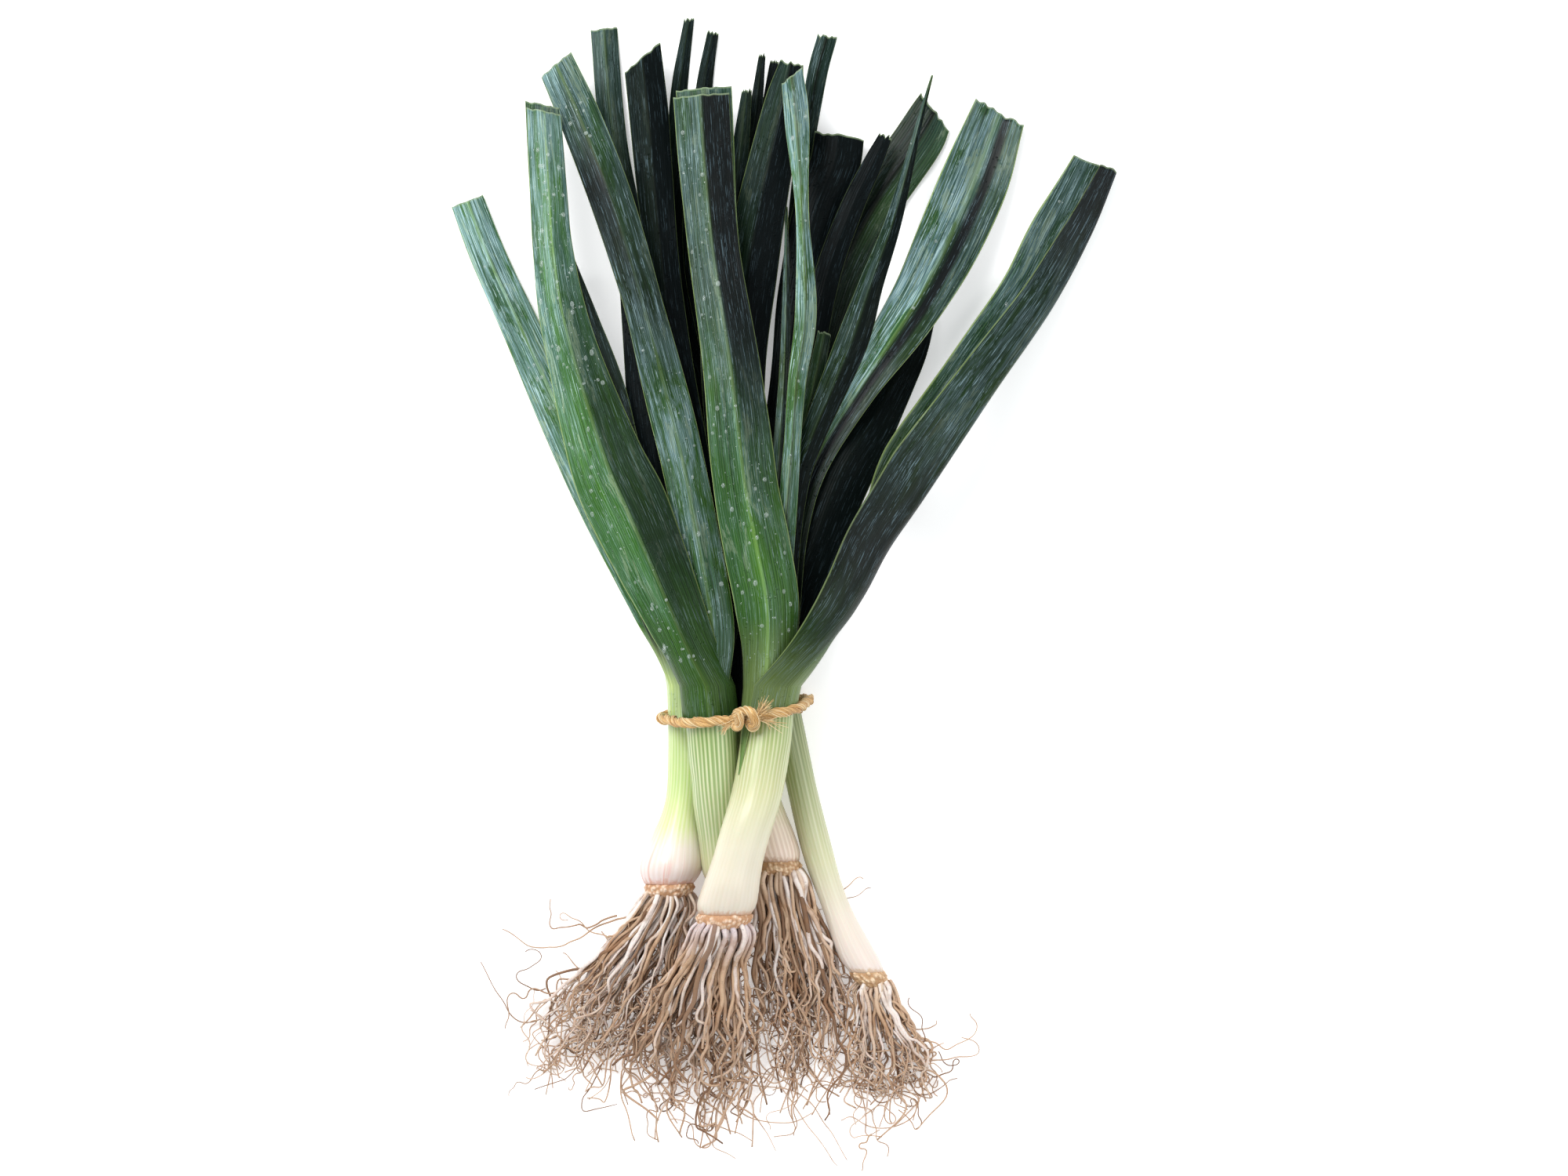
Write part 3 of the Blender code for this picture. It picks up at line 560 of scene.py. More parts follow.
LEAVES = [
    Leaf("d1", [(3, 15, 8), (0, 70, 8), (-6, 150, 9), (-24, 250, 9), (-23, 320, 7), (-19, 366, 5),
                (-14, 397, 3.5)]),
    Leaf("d2", [(2, 15, 8), (-3, 60, 8), (-15, 120, 8), (-38, 250, 5), (-36, 320, 5), (-34, 362, 5),
                (-28, 405, 3)]),
    Leaf("d3", [(4, 15, 8), (2, 60, 9), (-2, 120, 10), (-8, 200, 9), (-6, 255, 8), (14, 335, 4),
                (22, 380, 2.5)]),
    Leaf("d4", [(4, 15, 8), (2, 60, 9), (-4, 120, 10), (-10, 200, 9), (-8, 255, 8), (8, 330, 5),
                (15, 383, 2)]),
    Leaf("d5", [(4, 15, 8), (2, 60, 9), (-4, 120, 10), (-12, 200, 9), (-10, 255, 8), (0, 310, 6),
                (6, 361, 3)]),
    Leaf("e1", [(26, 15, 7), (25, 70, 8), (26, 140, 8), (31, 210, 6), (33, 250, 5), (36, 300, 5),
                (46, 367, 6), (53, 395, 6)]),
    Leaf("e2", [(27, 15, 8), (28, 60, 10), (32, 120, 12), (44, 195, 13), (58, 250, 14), (78, 292, 15),
                (106, 333, 15), (116, 350, 13)], slant=-0.45),
    Leaf("d6", [(4, 15, 9), (8, 50, 11), (17, 110, 11), (27, 180, 9), (36, 245, 12), (46, 290, 14),
                (57, 318, 15), (60, 336, 15)]),
    Leaf("e3", [(27, 15, 8), (27, 50, 9), (29, 110, 9), (40, 190, 9), (52, 250, 8), (66, 290, 7),
                (78, 316, 6), (87, 335, 4)]),
    Leaf("d7", [(3, 15, 9), (3, 60, 10), (2, 120, 12), (2, 200, 14), (8, 255, 15), (16, 300, 14),
                (27, 350, 12), (32, 376, 7)]),
    Leaf("a1", [(-31, 15, 8), (-31, 50, 10), (-36, 100, 12), (-45, 170, 12), (-54, 240, 10),
                (-68, 310, 8), (-74, 350, 8), (-78, 399, 8)]),
    Leaf("b1", [(-14, 15, 10), (-16, 60, 11), (-23, 120, 12), (-34, 190, 11), (-42, 250, 10),
                (-48, 310, 11), (-51, 345, 11.5), (-55, 381, 11.5)], slant=0.7),
    Leaf("a2", [(-31, 15, 8), (-36, 60, 10), (-42, 110, 11), (-50, 170, 11), (-57, 225, 9),
                (-66, 285, 5)]),
    Leaf("a3", [(-33, 15, 8), (-42, 40, 9), (-60, 80, 10), (-84, 130, 11), (-105, 177, 11.5),
                (-122, 214, 11), (-145, 264, 11), (-158, 298, 10)], roof=(20, 12)),
    Leaf("c1", [(22, 15, 10), (32, 60, 13), (46, 100, 15), (62, 140, 16), (80, 170, 14), (100, 207, 11),
                (112, 232, 5)]),
    Leaf("e4", [(27, 15, 8), (28, 60, 9), (33, 105, 9), (45, 143, 9), (71, 186, 10.5), (108, 243, 17.5),
                (136, 302, 21), (154, 350, 17)], roof=(-8, -22), slant=-0.2),
    Leaf("e5", [(27, 15, 7), (27, 50, 7), (30, 100, 6), (36, 150, 5), (44, 185, 5), (51, 219, 4)]),
    Leaf("e6", [(27, 15, 7), (28, 80, 8), (34, 130, 8), (45, 161, 7.5), (66, 211, 10), (78, 247, 7.5),
                (92, 287, 5), (109, 352, 1.6), (114, 370, 0.5)], roof=(15, 35)),
    Leaf("a4", [(-33, 15, 8), (-48, 70, 12), (-62, 120, 14), (-76, 180, 14), (-90, 225, 11),
                (-99, 262, 5)]),
    Leaf("c2", [(18, 15, 8), (19, 40, 7), (21, 90, 5), (25, 150, 4), (28, 200, 3), (29, 250, 2),
                (29, 293, 0.6)]),
    Leaf("c3", [(18, 15, 8), (22, 50, 8), (28, 100, 6), (32, 150, 5), (35, 190, 5.5), (40, 230, 6.5),
                (38, 287, 4), (35, 340, 7.5), (32, 368, 7)], roof=(10, 20), tilt=(0, 10), slant=0.6),
    Leaf("b2", [(-3, 15, 6), (-4, 50, 6), (-8, 85, 5), (-12, 115, 3)]),
    Leaf("b3", [(-13, 15, 12), (-13, 45, 13), (-22, 100, 13), (-31, 145, 13), (-42, 190, 13),
                (-55, 240, 12), (-72, 295, 13), (-90, 342, 13), (-105, 376, 12)], roof=(12, 24),
         slant=0.3),
    Leaf("c4", [(16, 15, 14), (18, 57, 19.5), (12, 94, 20.5), (5, 132, 20), (-3, 199, 17.7),
                (-13, 264, 15.3), (-18, 314, 16.5), (-21, 357, 17)], roof=(26, 18), tilt=(0, 8),
         wrap=(175, 20, 0.0008)),
    Leaf("b4", [(-19, 15, 17), (-37, 58, 21), (-60, 111, 25), (-76, 148, 24), (-97, 218, 16),
                (-105, 264, 13), (-108, 300, 12), (-111, 347, 11)], roof=(30, 30), tilt=(8, -6),
         slant=-0.3, wrap=(184, -2, 0.0010), ease=0.036),
    Leaf("c5", [(36, 15, 28, 3), (55, 39, 31, 6), (74, 68, 32, 12), (88, 94, 33, 22), (108, 123, 33, 36),
                (148, 183, 29, 37), (184, 235, 24, 36), (207, 278, 19, 36), (222, 315, 12, 28)],
         roof=(-82, -82), tilt=(90, 82), fold=(0.8, 0.22), wrap=(-25, 128, 0.0022), ease=0.055,
         hump=0.0034),
]


# Mean painted shade above which a blade takes the matt copy of the blade material made for shaded blades,
# in percent
SHADED_COPY_TONE = 62

# Painted shade on the left and the right half of each blade, then their bluish bloom, which is wax and in
# part a painted reflection of the lamp, in percent from base to tip
PAINTED_SHADE_AND_BLOOM = {
    "a1": ((55, 50, 25), (70, 55, 40), (30, 80), (20, 60)),
    "a2": ((95,), (95,), (10,), (10,)),
    "a3": ((0, -20, -30), (10, -20, -20), (50, 160), (50, 140)),
    "a4": ((80, 45, 20), (90, 70, 50), (50, 160), (40, 100)),
    "b1": ((80, 75, 60), (100, 95, 90), (40, 60), (10, 20)),
    "b2": ((50,), (60,), (60,), (40,)),
    "b3": ((30, 10, 10, 40, 70, -15), (35, 25, 20, 50, 40, 10), (60, 140, 90), (50, 120, 80)),
    "b4": ((22, -10, -18, -25, -15), (30, 50, 40, -5, -5), (15, 20, 70, 120), (10, 30, 40, 100)),
    "c1": ((85, 75), (90, 80), (10,), (10,)),
    "c2": ((40, 20), (70, 60), (50, 140), (40, 60)),
    "c3": ((40, 5, -20, -10), (50, 20, 10, 5), (50, 160), (60, 140)),
    "c4": ((24, 8, 12, 22, 20), (24, 14, 32, 74, 90, 85), (10, 20, 60, 100), (10, 40, 80, 80)),
    "c5": ((20, 50, 30, 10, 20), (32, 74, 44, 44, 84), (10, 50, 120), (30, 100, 150, 90)),
    "d1": ((90, 55), (95, 75), (30,), (20,)),
    "d2": ((95, 50), (95, 65), (50,), (30,)),
    "d3": ((90, 75), (95, 90), (20,), (10,)),
    "d4": ((90, 60), (95, 75), (30,), (10,)),
    "d5": ((90, 50), (95, 60), (40,), (10,)),
    "d6": ((100, 90), (100, 95), (10,), (10,)),
    "d7": ((85, 60, 45), (95, 95, 90), (30,), (10,)),
    "e1": ((80, 40), (85, 45), (80,), (50,)),
    "e2": ((85, 70, 50), (85, 60, 20), (10,), (10,)),
    "e3": ((95,), (95,), (10,), (10,)),
    "e4": ((60, 0, -30, 0, 20), (75, 60, 35, 20), (50, 180, 140), (30, 90)),
    "e5": ((50, 30), (60, 45), (20,), (10,)),
    "e6": ((70, 50, 30), (85, 75, 70), (60, 130), (30,)),
}

# Painted shade along a crease in some blades, a painted highlight where negative: how much darker it is and
# how far it lies from the midrib to the right
CREASE_SHADES = {"c4": (-0.2, 0.0), "e4": (0.7, 0.32), "e2": (0.3, 0.0), "c3": (0.35, 0.0), "e1": (0.3, 0.0),
           "d7": (0.2, 0.0)}

# How much paler than the rest of the blade its base is, by plant or by blade
PALE_BASES = {"a": 1.0, "c4": 0.32, "c5": 0.34, "e": 0.3}

# Water drops standing on the blades
DROPS = {"a3": 60, "a4": 40, "b3": 170, "b4": 330, "c2": 6, "c3": 30, "c4": 240, "c5": 60, "d7": 12,
         "e4": 50, "e6": 24}


def across_and_along(left, right, columns, share):
    """Percentages given from base to tip for both halves, spread over the whole blade as shares."""
    halves = []
    for values in (left, right):
        shares = [value / 100 for value in values]
        halves.append(np.interp(share, np.linspace(0, 1, len(shares)), shares)[:, None])
    turned = smoothstep((columns + 0.12) / 0.24)
    return halves[0] * (1 - turned) + halves[1] * turned


def fold_section(left, right, roof, tilt, fold, columns):
    """Sideways and upward places across a blade whose halves turn away from its midrib."""
    parts = 32
    steps = np.linspace(0, 1, parts + 1)
    places = []
    for turned in (np.cos, np.sin):
        both = []
        for side, half in ((-1, left), (1, right)):
            angle = tilt - roof * np.tanh(side * steps / fold)
            path = running(turned(angle)[1:]) * side * half / parts
            both.append(np.interp(side * columns, steps, path))
        places.append(np.where(columns > 0, both[1], both[0]))
    return places


# How much broader some of the blades behind look than the CAD solids that carry them
BROADER = {"d1": 1.6, "d2": 2.0, "d3": 1.2, "d7": 1.1, "a3": 1.2, "a2": 1.2, "c1": 1.15}


def leaf_lift(leaf):
    """Height of the midrib above the surface at each CAD row, read from the CAD node."""
    rows = even_path(leaf.stations, CAD_LEAF_ROWS) * MM
    points = node_points(leaf.name)
    heights = []
    for x, y in rows[:, :2]:
        away = np.hypot(points[:, 0] - x, points[:, 1] - y)
        near = away < max(0.0013, away.min() + 0.0002)
        heights.append(points[near, 2].mean())
    return heights


def leaf_surface(leaf):
    """The blade's middle surface, row by row, and how far along the midrib each row lies."""
    heights = smooth_path(np.array(leaf_lift(leaf))[:, None], LEAF_ROWS)[:, 0]
    rows = even_path(leaf.stations, LEAF_ROWS) * MM
    ahead = unit(np.gradient(rows[:, :2], axis=0))
    share = np.linspace(0, 1, LEAF_ROWS)
    base_blend = np.clip(share * 5, 0, 1)[:, None]
    normal = np.column_stack([ahead[:, 1], -ahead[:, 0]]) * base_blend + [1.0, 0.0] * (1 - base_blend)
    columns = np.linspace(-1, 1, LEAF_COLUMNS)
    seed = int(sum(map(ord, leaf.name)) * 7)
    raggedness = 0.0007 if leaf.plant in "de" else 0.0003
    notch = wander(LEAF_COLUMNS, 4, seed) * raggedness
    breathe = 1 + 0.015 * wander(LEAF_ROWS, 14, seed + 1)
    ripple = wander(LEAF_ROWS, 9, seed + 2) * 0.0005
    grid = np.empty((LEAF_ROWS, LEAF_COLUMNS, 3))

    def between(ends, place):
        return ends[0] + (ends[1] - ends[0]) * place

    for k in range(LEAF_ROWS):
        roof = math.radians(between(leaf.roof, share[k]))
        tilt = math.radians(between(leaf.tilt, share[k]))
        fold = between(leaf.fold, min(1, 2.5 * share[k]))
        broad = (BROADER.get(leaf.key, 1.0) - 1) * math.sin(math.pi * min(1, 1.2 * share[k]))
        wide = breathe[k] * (1 + broad)
        sideways, upward = fold_section(rows[k, 3] * wide, rows[k, 2] * wide, roof, tilt, fold, columns)
        forward = leaf.slant * sideways * share[k] ** 8 + notch * share[k] ** 30
        for axis in (0, 1):
            grid[k, :, axis] = rows[k, axis] + sideways * normal[k, axis] + forward * ahead[k, axis]
        grid[k, :, 2] = heights[k] + upward + ripple[k] * columns ** 2
    return grid, running(np.linalg.norm(np.diff(rows[:, :2], axis=0), axis=1))


def base_angles(leaf):
    """Where round its shaft a blade's columns start, and how far off the shaft."""
    if leaf.wrap:
        start, stop, lift = leaf.wrap
        return np.radians(np.linspace(start, stop, LEAF_COLUMNS)), lift
    radius = LINES[leaf.plant]["radius"][0]
    reach = min(85.0, math.degrees(leaf.stations[0][2] * MM / radius))
    order = int(leaf.key[1])
    return np.radians(np.linspace(90 + reach, 90 - reach, LEAF_COLUMNS)), 0.0002 + 0.0001 * order


def sheathed(leaf, grid, length):
    """The blade with rows added that hug its shaft from under the twine, and eased into them."""
    line = LINES[leaf.plant]
    turn, lift = base_angles(leaf)
    top_x, top_y, top_z, radius = (line[key][0] for key in ("x", "y", "z", "radius"))
    arc = (radius + lift) * np.stack([np.cos(turn), np.zeros_like(turn), np.sin(turn)], axis=-1)
    low = SHIFT_Y + TIE_SLOPE * (top_x - SHIFT_X) - TIE_TILT
    extra = 16
    ys = np.linspace(low, grid[0, 0, 1], extra, endpoint=False)
    offset = arc - arc.mean(axis=0)
    drift = grid[0].mean(axis=0) - (np.array([top_x, grid[0, 0, 1], top_z]) + arc.mean(axis=0))
    reach = grid[0, 0, 1] - low

    def settling(beyond_tie):
        return smoothstep(beyond_tie / (reach + leaf.ease))

    before = []
    for k, y in enumerate(ys):
        share = k / extra
        row = np.array([along_line(line, y, "x"), y, along_line(line, y, "z")]) + arc
        row += drift * settling(y - low)
        row[:, 1] = y + TIE_SLOPE * arc[:, 0] * (1 - share)
        before.append(row)
    blend = smoothstep(length / leaf.ease)
    joined = grid.copy()
    for k in range(len(grid)):
        if blend[k] < 1:
            joined[k] = (grid[k].mean(axis=0) + offset) * (1 - blend[k]) + grid[k] * blend[k]
            joined[k] -= drift * (1 - settling(reach + length[k]))
    step = (grid[0, 0, 1] - low) / extra
    lengths = np.concatenate([-step * np.arange(extra, 0, -1), length])
    surface = np.concatenate([np.array(before), joined])
    hump_place, hump_width = 0.010, 0.014
    surface[:, :, 2] += leaf.hump * np.exp(-((lengths - hump_place) / hump_width) ** 2)[:, None]
    return surface, lengths


def blade_mesh(name, grid, length, shade_and_bloom, pale, crease_shade, material):
    """A thin closed blade on a grid of middle points, with the measures its material needs."""
    count, wide = grid.shape[:2]
    columns = np.linspace(-1, 1, wide)
    normal = unit(np.cross(np.gradient(grid, axis=1), np.gradient(grid, axis=0)))
    thick = MARGIN + RIB * np.exp(-(columns / 0.12) ** 2) + BODY * (1 - columns ** 2)
    pleat = PLEAT * np.cos(columns * math.pi * PLEATS)
    top = grid + normal * (thick / 2 + pleat)[None, :, None]
    bottom = grid - normal * (thick / 2 - pleat)[None, :, None]
    points = np.concatenate([top.reshape(-1, 3), bottom.reshape(-1, 3)])
    points[:, 2] = np.maximum(points[:, 2], 0.0)
    size = count * wide
    faces = grid_faces(count, wide)
    faces += [face[::-1] for face in grid_faces(count, wide, first=size)]
    for r in range(count - 1):
        a, b = r * wide, (r + 1) * wide
        faces.append([a, b, b + size, a + size])
        c, d = a + wide - 1, b + wide - 1
        faces.append([d, c, c + size, d + size])
    last = (count - 1) * wide
    for c in range(wide - 1):
        faces.append([c + 1, c, c + size, c + 1 + size])
        faces.append([last + c, last + c + 1, last + c + 1 + size, last + c + size])
    steps = np.linalg.norm(np.diff(grid, axis=1), axis=-1)
    sideways = np.concatenate([np.zeros((count, 1)), np.cumsum(steps, axis=1)], axis=1)
    sideways -= sideways[:, wide // 2][:, None]
    sideways = 0.35 * sideways + 0.65 * sideways[count // 3: count // 2].mean(axis=0)
    own = float(sum(map(ord, name)) % 97)
    lengths = np.repeat(length[:, None], wide, axis=1)
    flat = np.stack([sideways, lengths, np.full_like(lengths, own)], axis=-1).reshape(-1, 3)
    share = np.clip(length / length[-1], 0, 1)
    # Painted shade: each half's listed darkness and the shade painted along a crease become the light that
    # the material dims the blade by; the bloom carries a painted reflection as well as wax
    left_shade, right_shade, left_bloom_and_sheen, right_bloom_and_sheen = shade_and_bloom
    dark = across_and_along(left_shade, right_shade, columns, share)
    dark = dark + crease_shade[0] * np.exp(-((columns - crease_shade[1]) / 0.13) ** 2)
    bloom = across_and_along(left_bloom_and_sheen, right_bloom_and_sheen, columns, share)
    if pale == 1.0:
        dark = dark * smoothstep(lengths / 0.05)

    def both(values):
        return np.concatenate([np.asarray(values).ravel()] * 2)

    light = (1 - (1 - DARKEST) * np.clip(dark, -0.3, 1)) ** CONTRAST
    attributes = {
        "flat": np.concatenate([flat, flat + [0.3, 0.2, 5.0]]),
        "along": both(np.maximum(lengths, 0)),
        "across": both(np.tile(columns, (count, 1))),
        "light": both(light),
        "bloom": both(bloom),
        "pale": np.full(2 * size, pale),
        "tip": both(length[-1] - lengths),
    }
    made = add_mesh(name, points, faces, material, attributes)
    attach(made, "root")
    return made, (top, bottom, normal, light)


def build_leaf(leaf, material):
    """Builds the blade, and returns its two faces, its normals and its light for what stands on it."""
    grid, length = sheathed(leaf, *leaf_surface(leaf))
    pale = PALE_BASES.get(leaf.key, PALE_BASES.get(leaf.plant, 0.0))
    made, surface = blade_mesh(leaf.name + "_blade", grid, length, PAINTED_SHADE_AND_BLOOM[leaf.key], pale,
                               CREASE_SHADES.get(leaf.key, (0.0, 0.0)), material)
    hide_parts(leaf.name)
    return surface


def build_inner_tip(name, surface, aside, material):
    """The older layer that shows behind the cut tip of a blade that is folded double."""
    rows = 44
    beyond = smoothstep(np.linspace(0, 1, rows))[:, None, None]
    grid = surface[1][-rows:] + np.array([aside, 0.0042, 0.0]) * beyond - np.array([0, 0, 0.0024])
    length = 0.22 + running(np.linalg.norm(np.diff(grid[:, LEAF_COLUMNS // 2], axis=0), axis=1))
    # Painted shade on the folded-back layer, fading towards its end
    made, _ = blade_mesh(name + "_inner_tip", grid, length, ((35, 20), (45, 20), (50,), (50,)), 0.0,
                         (0.0, 0.0), material)


def build_sheath_tongue(material):
    """The narrow green tongue of sheath that runs down the front shaft from under the knot."""
    line = LINES["c"]
    rows = 40
    share = np.linspace(0, 1, rows)
    y = SHIFT_Y - 0.004 - 0.032 * share
    half = np.radians(13) * (1 - share) ** 0.7 + 0.004
    turn = np.radians(138 + 8 * share)[:, None] - half[:, None] * np.linspace(-1, 1, 9)[None, :]
    radius = along_line(line, y, "radius")[:, None] + 0.0006
    grid = around_line(along_line(line, y, "x"), y, along_line(line, y, "z"), radius, turn)[:, ::-1]
    # Painted shade on the tongue just under the knot, turning to a little painted light further down
    made, _ = blade_mesh("leek_c_sheath_tongue", grid, 0.032 * share, ((20, -10), (30, -10), (10,), (10,)),
                         0.25, (0.0, 0.0), material)


# Shafts, plates and roots

# For each shaft: where it is narrowest below the tie, how far that reaches and by what share, how far it
# carries on above the tie, how it leans there, and by what share its bulb swells
SHAFTS = {
    "a": (0.058, 0.018, 0.08, 0.050, -0.22, 0.09),
    "b": (0.080, 0.020, 0.02, 0.020, -0.10, 0.0),
    "c": (0.086, 0.020, 0.11, 0.020, 0.0, 0.0),
    "d": (0.050, 0.020, 0.02, 0.030, -0.05, 0.0),
    "e": (0.112, 0.026, 0.20, 0.030, 0.12, 0.06),
}


def shaft_rows(plant):
    """Centre line and radius of a shaft at even steps, carried on past the tie into the leaf bases."""
    line = LINES[plant]
    end = line["y"][-1]
    waist, width, depth, above, lean, swell = SHAFTS[plant]
    y = np.linspace(line["y"][0], end, SHAFT_ROWS)
    stations = np.column_stack([line["y"], line["x"], line["z"], line["radius"]])
    smooth = even_path(stations, 400, 1)
    x, z, radius = (np.interp(-y, -smooth[:, 0], smooth[:, k]) for k in (1, 2, 3))
    x = x * 0.35 + 0.65 * np.polyval(np.polyfit(y, x, 3), y)
    radius = radius * (1 - depth * np.exp(-((SHIFT_Y - y - waist) / width) ** 2))
    radius = radius * (1 + swell * np.exp(-((y - end - 0.014) / 0.016) ** 2))
    rounding = np.clip((0.010 - (y - end)) / 0.010, 0, 1)
    radius = radius * (1 - 0.15 * rounding ** 2.4)
    grow = np.linspace(1, 0, 24, endpoint=False)
    y = np.concatenate([line["y"][0] + above * grow, y])
    x = np.concatenate([x[0] + lean * above * grow, x])
    z = np.concatenate([z[0] - 0.12 * above * grow, z])
    radius = np.concatenate([radius[0] * (1 - 0.75 * grow ** 1.6), radius])
    return x, y, z, radius


def build_shaft(plant, material):
    """A shaft with fine ribs, slight lumps and the edge of its outer sheath running round it."""
    x, y, z, radius = shaft_rows(plant)
    count = len(y)
    turn = circle(SHAFT_SIDES)
    seed = ord(plant)
    ribs = max(30, int(2 * math.pi * radius.max() / RIB_WIDTH))
    ribbed = RIB_HEIGHT * np.cos(turn * ribs)
    lumps = wander(count, 22, seed)[:, None] * np.cos(turn * 2 + seed) * 0.00022
    lumps = lumps + wander(count, 30, seed + 5)[:, None] * np.cos(turn * 3 + 1) * 0.00016
    below = np.clip((SHIFT_Y - y) / 0.16, 0, 1)
    edge_turn = math.radians(60) + 0.9 * below + seed
    step = ((turn - edge_turn[:, None]) / (2 * math.pi)) % 1
    sheath = SHEATH_EDGE * np.exp(-step * 22)
    out = radius[:, None] * (1 - 0.002) + ribbed + lumps + sheath
    points, faces = turned_form(x, y, z, out, SHAFT_SIDES)
    along = np.repeat(np.maximum(SHIFT_Y - y, 0), SHAFT_SIDES)
    flat = np.stack([np.tile(turn * radius.mean(), count), along, np.full_like(along, seed)], axis=-1)
    made = add_mesh(f"leek_{plant}_sheaths", points, faces, material,
                    {"flat": flat, "along": along, "to_disc": along.max() - along})
    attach(made, "root")
    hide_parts(f"leek_{plant}_shaft")


def build_plate(plant, material):
    """A corky disc with rows of root buds standing out of its rim."""
    line = round_line(f"leek_{plant}_root_plate")
    shaft = LINES[plant]
    rows, sides = 44, 150
    depth = line["y"][0] - line["y"][-1]
    share = np.linspace(0, 1, rows)
    y = line["y"][0] + 0.0012 - share * (depth + 0.0012)
    centre_x = np.interp(-y, -line["y"], line["x"])
    centre_z = np.interp(-y, -line["y"], line["z"])
    rim = shaft["radius"][-1] * 0.90
    profile = np.interp(share, [0, 0.10, 0.30, 0.65, 0.88, 1.0], [0.90, 0.985, 1.02, 0.93, 0.74, 0.50])
    turn = circle(sides)
    draw = np.random.default_rng(ord(plant))
    buds = np.zeros((rows, sides))
    for _ in range(int(150 * rim / 0.014)):
        place = 0.08 + 0.9 * draw.random()
        where = draw.random() * 2 * math.pi
        size = 0.0009 + 0.0006 * draw.random()
        aside = ((turn - where + math.pi) % (2 * math.pi) - math.pi) * rim
        away = ((share[:, None] - place) * depth / size) ** 2 + (aside / size) ** 2
        buds = np.maximum(buds, (0.5 + 0.5 * draw.random()) * np.exp(-away))
    out = rim * profile[:, None] + buds * 0.0013 - 0.0004
    points, faces = turned_form(centre_x, y, centre_z, out, sides)
    made = add_mesh(f"leek_{plant}_root_disc", points, faces, material,
                    {"bud": buds.ravel(), "share": np.repeat(share, sides)})
    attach(made, "root")
    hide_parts(f"leek_{plant}_root_plate")
    return {"centre": np.array([centre_x[-1], y[-1], centre_z[-1]]), "radius": rim * 0.88, "depth": depth}


class Envelope:
    """The outer form of one plant's roots, read from its CAD solid."""

    def __init__(self, plant):
        rings = node_rings(f"leek_{plant}_roots")
        self.y = rings[:, 0]
        self.x = (rings[:, 1] + rings[:, 2]) / 2
        self.half = (rings[:, 2] - rings[:, 1]) / 2
        self.low = rings[:, 3]
        self.high = rings[:, 4]

    def at(self, share):
        place = np.asarray(share) * (len(self.y) - 1)
        index = np.arange(len(self.y))
        measures = (self.x, self.y, self.half, self.low, self.high)
        return [np.interp(place, index, values) for values in measures]


# For each plant: how many strands it has, how far they spread and how thick they are
ROOTS = {"a": (115, 1.2, 0.00125), "b": (16, 1.0, 0.0010), "c": (112, 1.2, 0.00155),
         "d": (110, 1.32, 0.00138), "e": (60, 1.15, 0.00118)}

# Long single roots that stray from the bunches, as seen from above and in millimetres
STRAYS = {
    "a": [[(-60, -118), (-100, -136), (-122, -139), (-136, -129)],
          [(-62, -122), (-104, -170), (-124, -182), (-140, -166), (-151, -149)],
          [(-50, -150), (-72, -196), (-86, -222), (-91, -236), (-70, -232)],
          [(-48, -150), (-44, -205), (-52, -224), (-30, -226)],
          [(-70, -120), (-104, -128), (-112, -118), (-108, -112)]],
    "c": [[(-12, -150), (-14, -205), (2, -236), (30, -243), (44, -238)],
          [(-8, -150), (14, -200), (34, -232), (52, -262), (57, -268)],
          [(-10, -160), (4, -215), (38, -226), (52, -246), (64, -265)],
          [(-14, -160), (-4, -220), (-8, -240), (-14, -255), (-2, -262)],
          [(0, -160), (20, -210), (8, -232), (18, -250), (24, -258)],
          [(-6, -160), (-12, -214), (-20, -238), (-6, -246), (8, -252)]],
    "d": [[(30, -130), (40, -190), (28, -226), (36, -246), (24, -250)],
          [(32, -130), (52, -185), (60, -212), (78, -216)]],
    "e": [[(84, -166), (100, -200), (118, -206), (138, -200), (140, -194), (132, -192)],
          [(82, -166), (96, -214), (110, -226), (130, -214)],
          [(80, -166), (86, -215), (104, -232), (96, -244), (84, -246), (70, -238), (62, -240)],
          [(84, -166), (104, -190), (112, -186), (116, -182)]],
}


def strand_start(disc, draw):
    """A place on the disc's lower face or rim, and how far it is from the middle."""
    turn = draw.random() * 2 * math.pi
    out = math.sqrt(draw.random())
    aside, over = out * math.cos(turn), out * math.sin(turn)
    raised = 0.0005 + disc["depth"] * 0.45 * max(0.0, out - 0.55) / 0.45
    start = disc["centre"] + np.array([aside * disc["radius"], raised, over * disc["radius"]])
    return start, aside, over


def curled(path, amount, draw):
    """The path with sideways curls whose size is given for each of its samples."""
    count = len(path)
    for axis, share in enumerate((1.0, 0.8, 0.35)):
        slow = wander(count, 11, draw.integers(1 << 30))
        quick = wander(count, 4.5, draw.integers(1 << 30))
        path[:, axis] += amount * share * (0.85 * slow + 0.32 * quick)
    return path


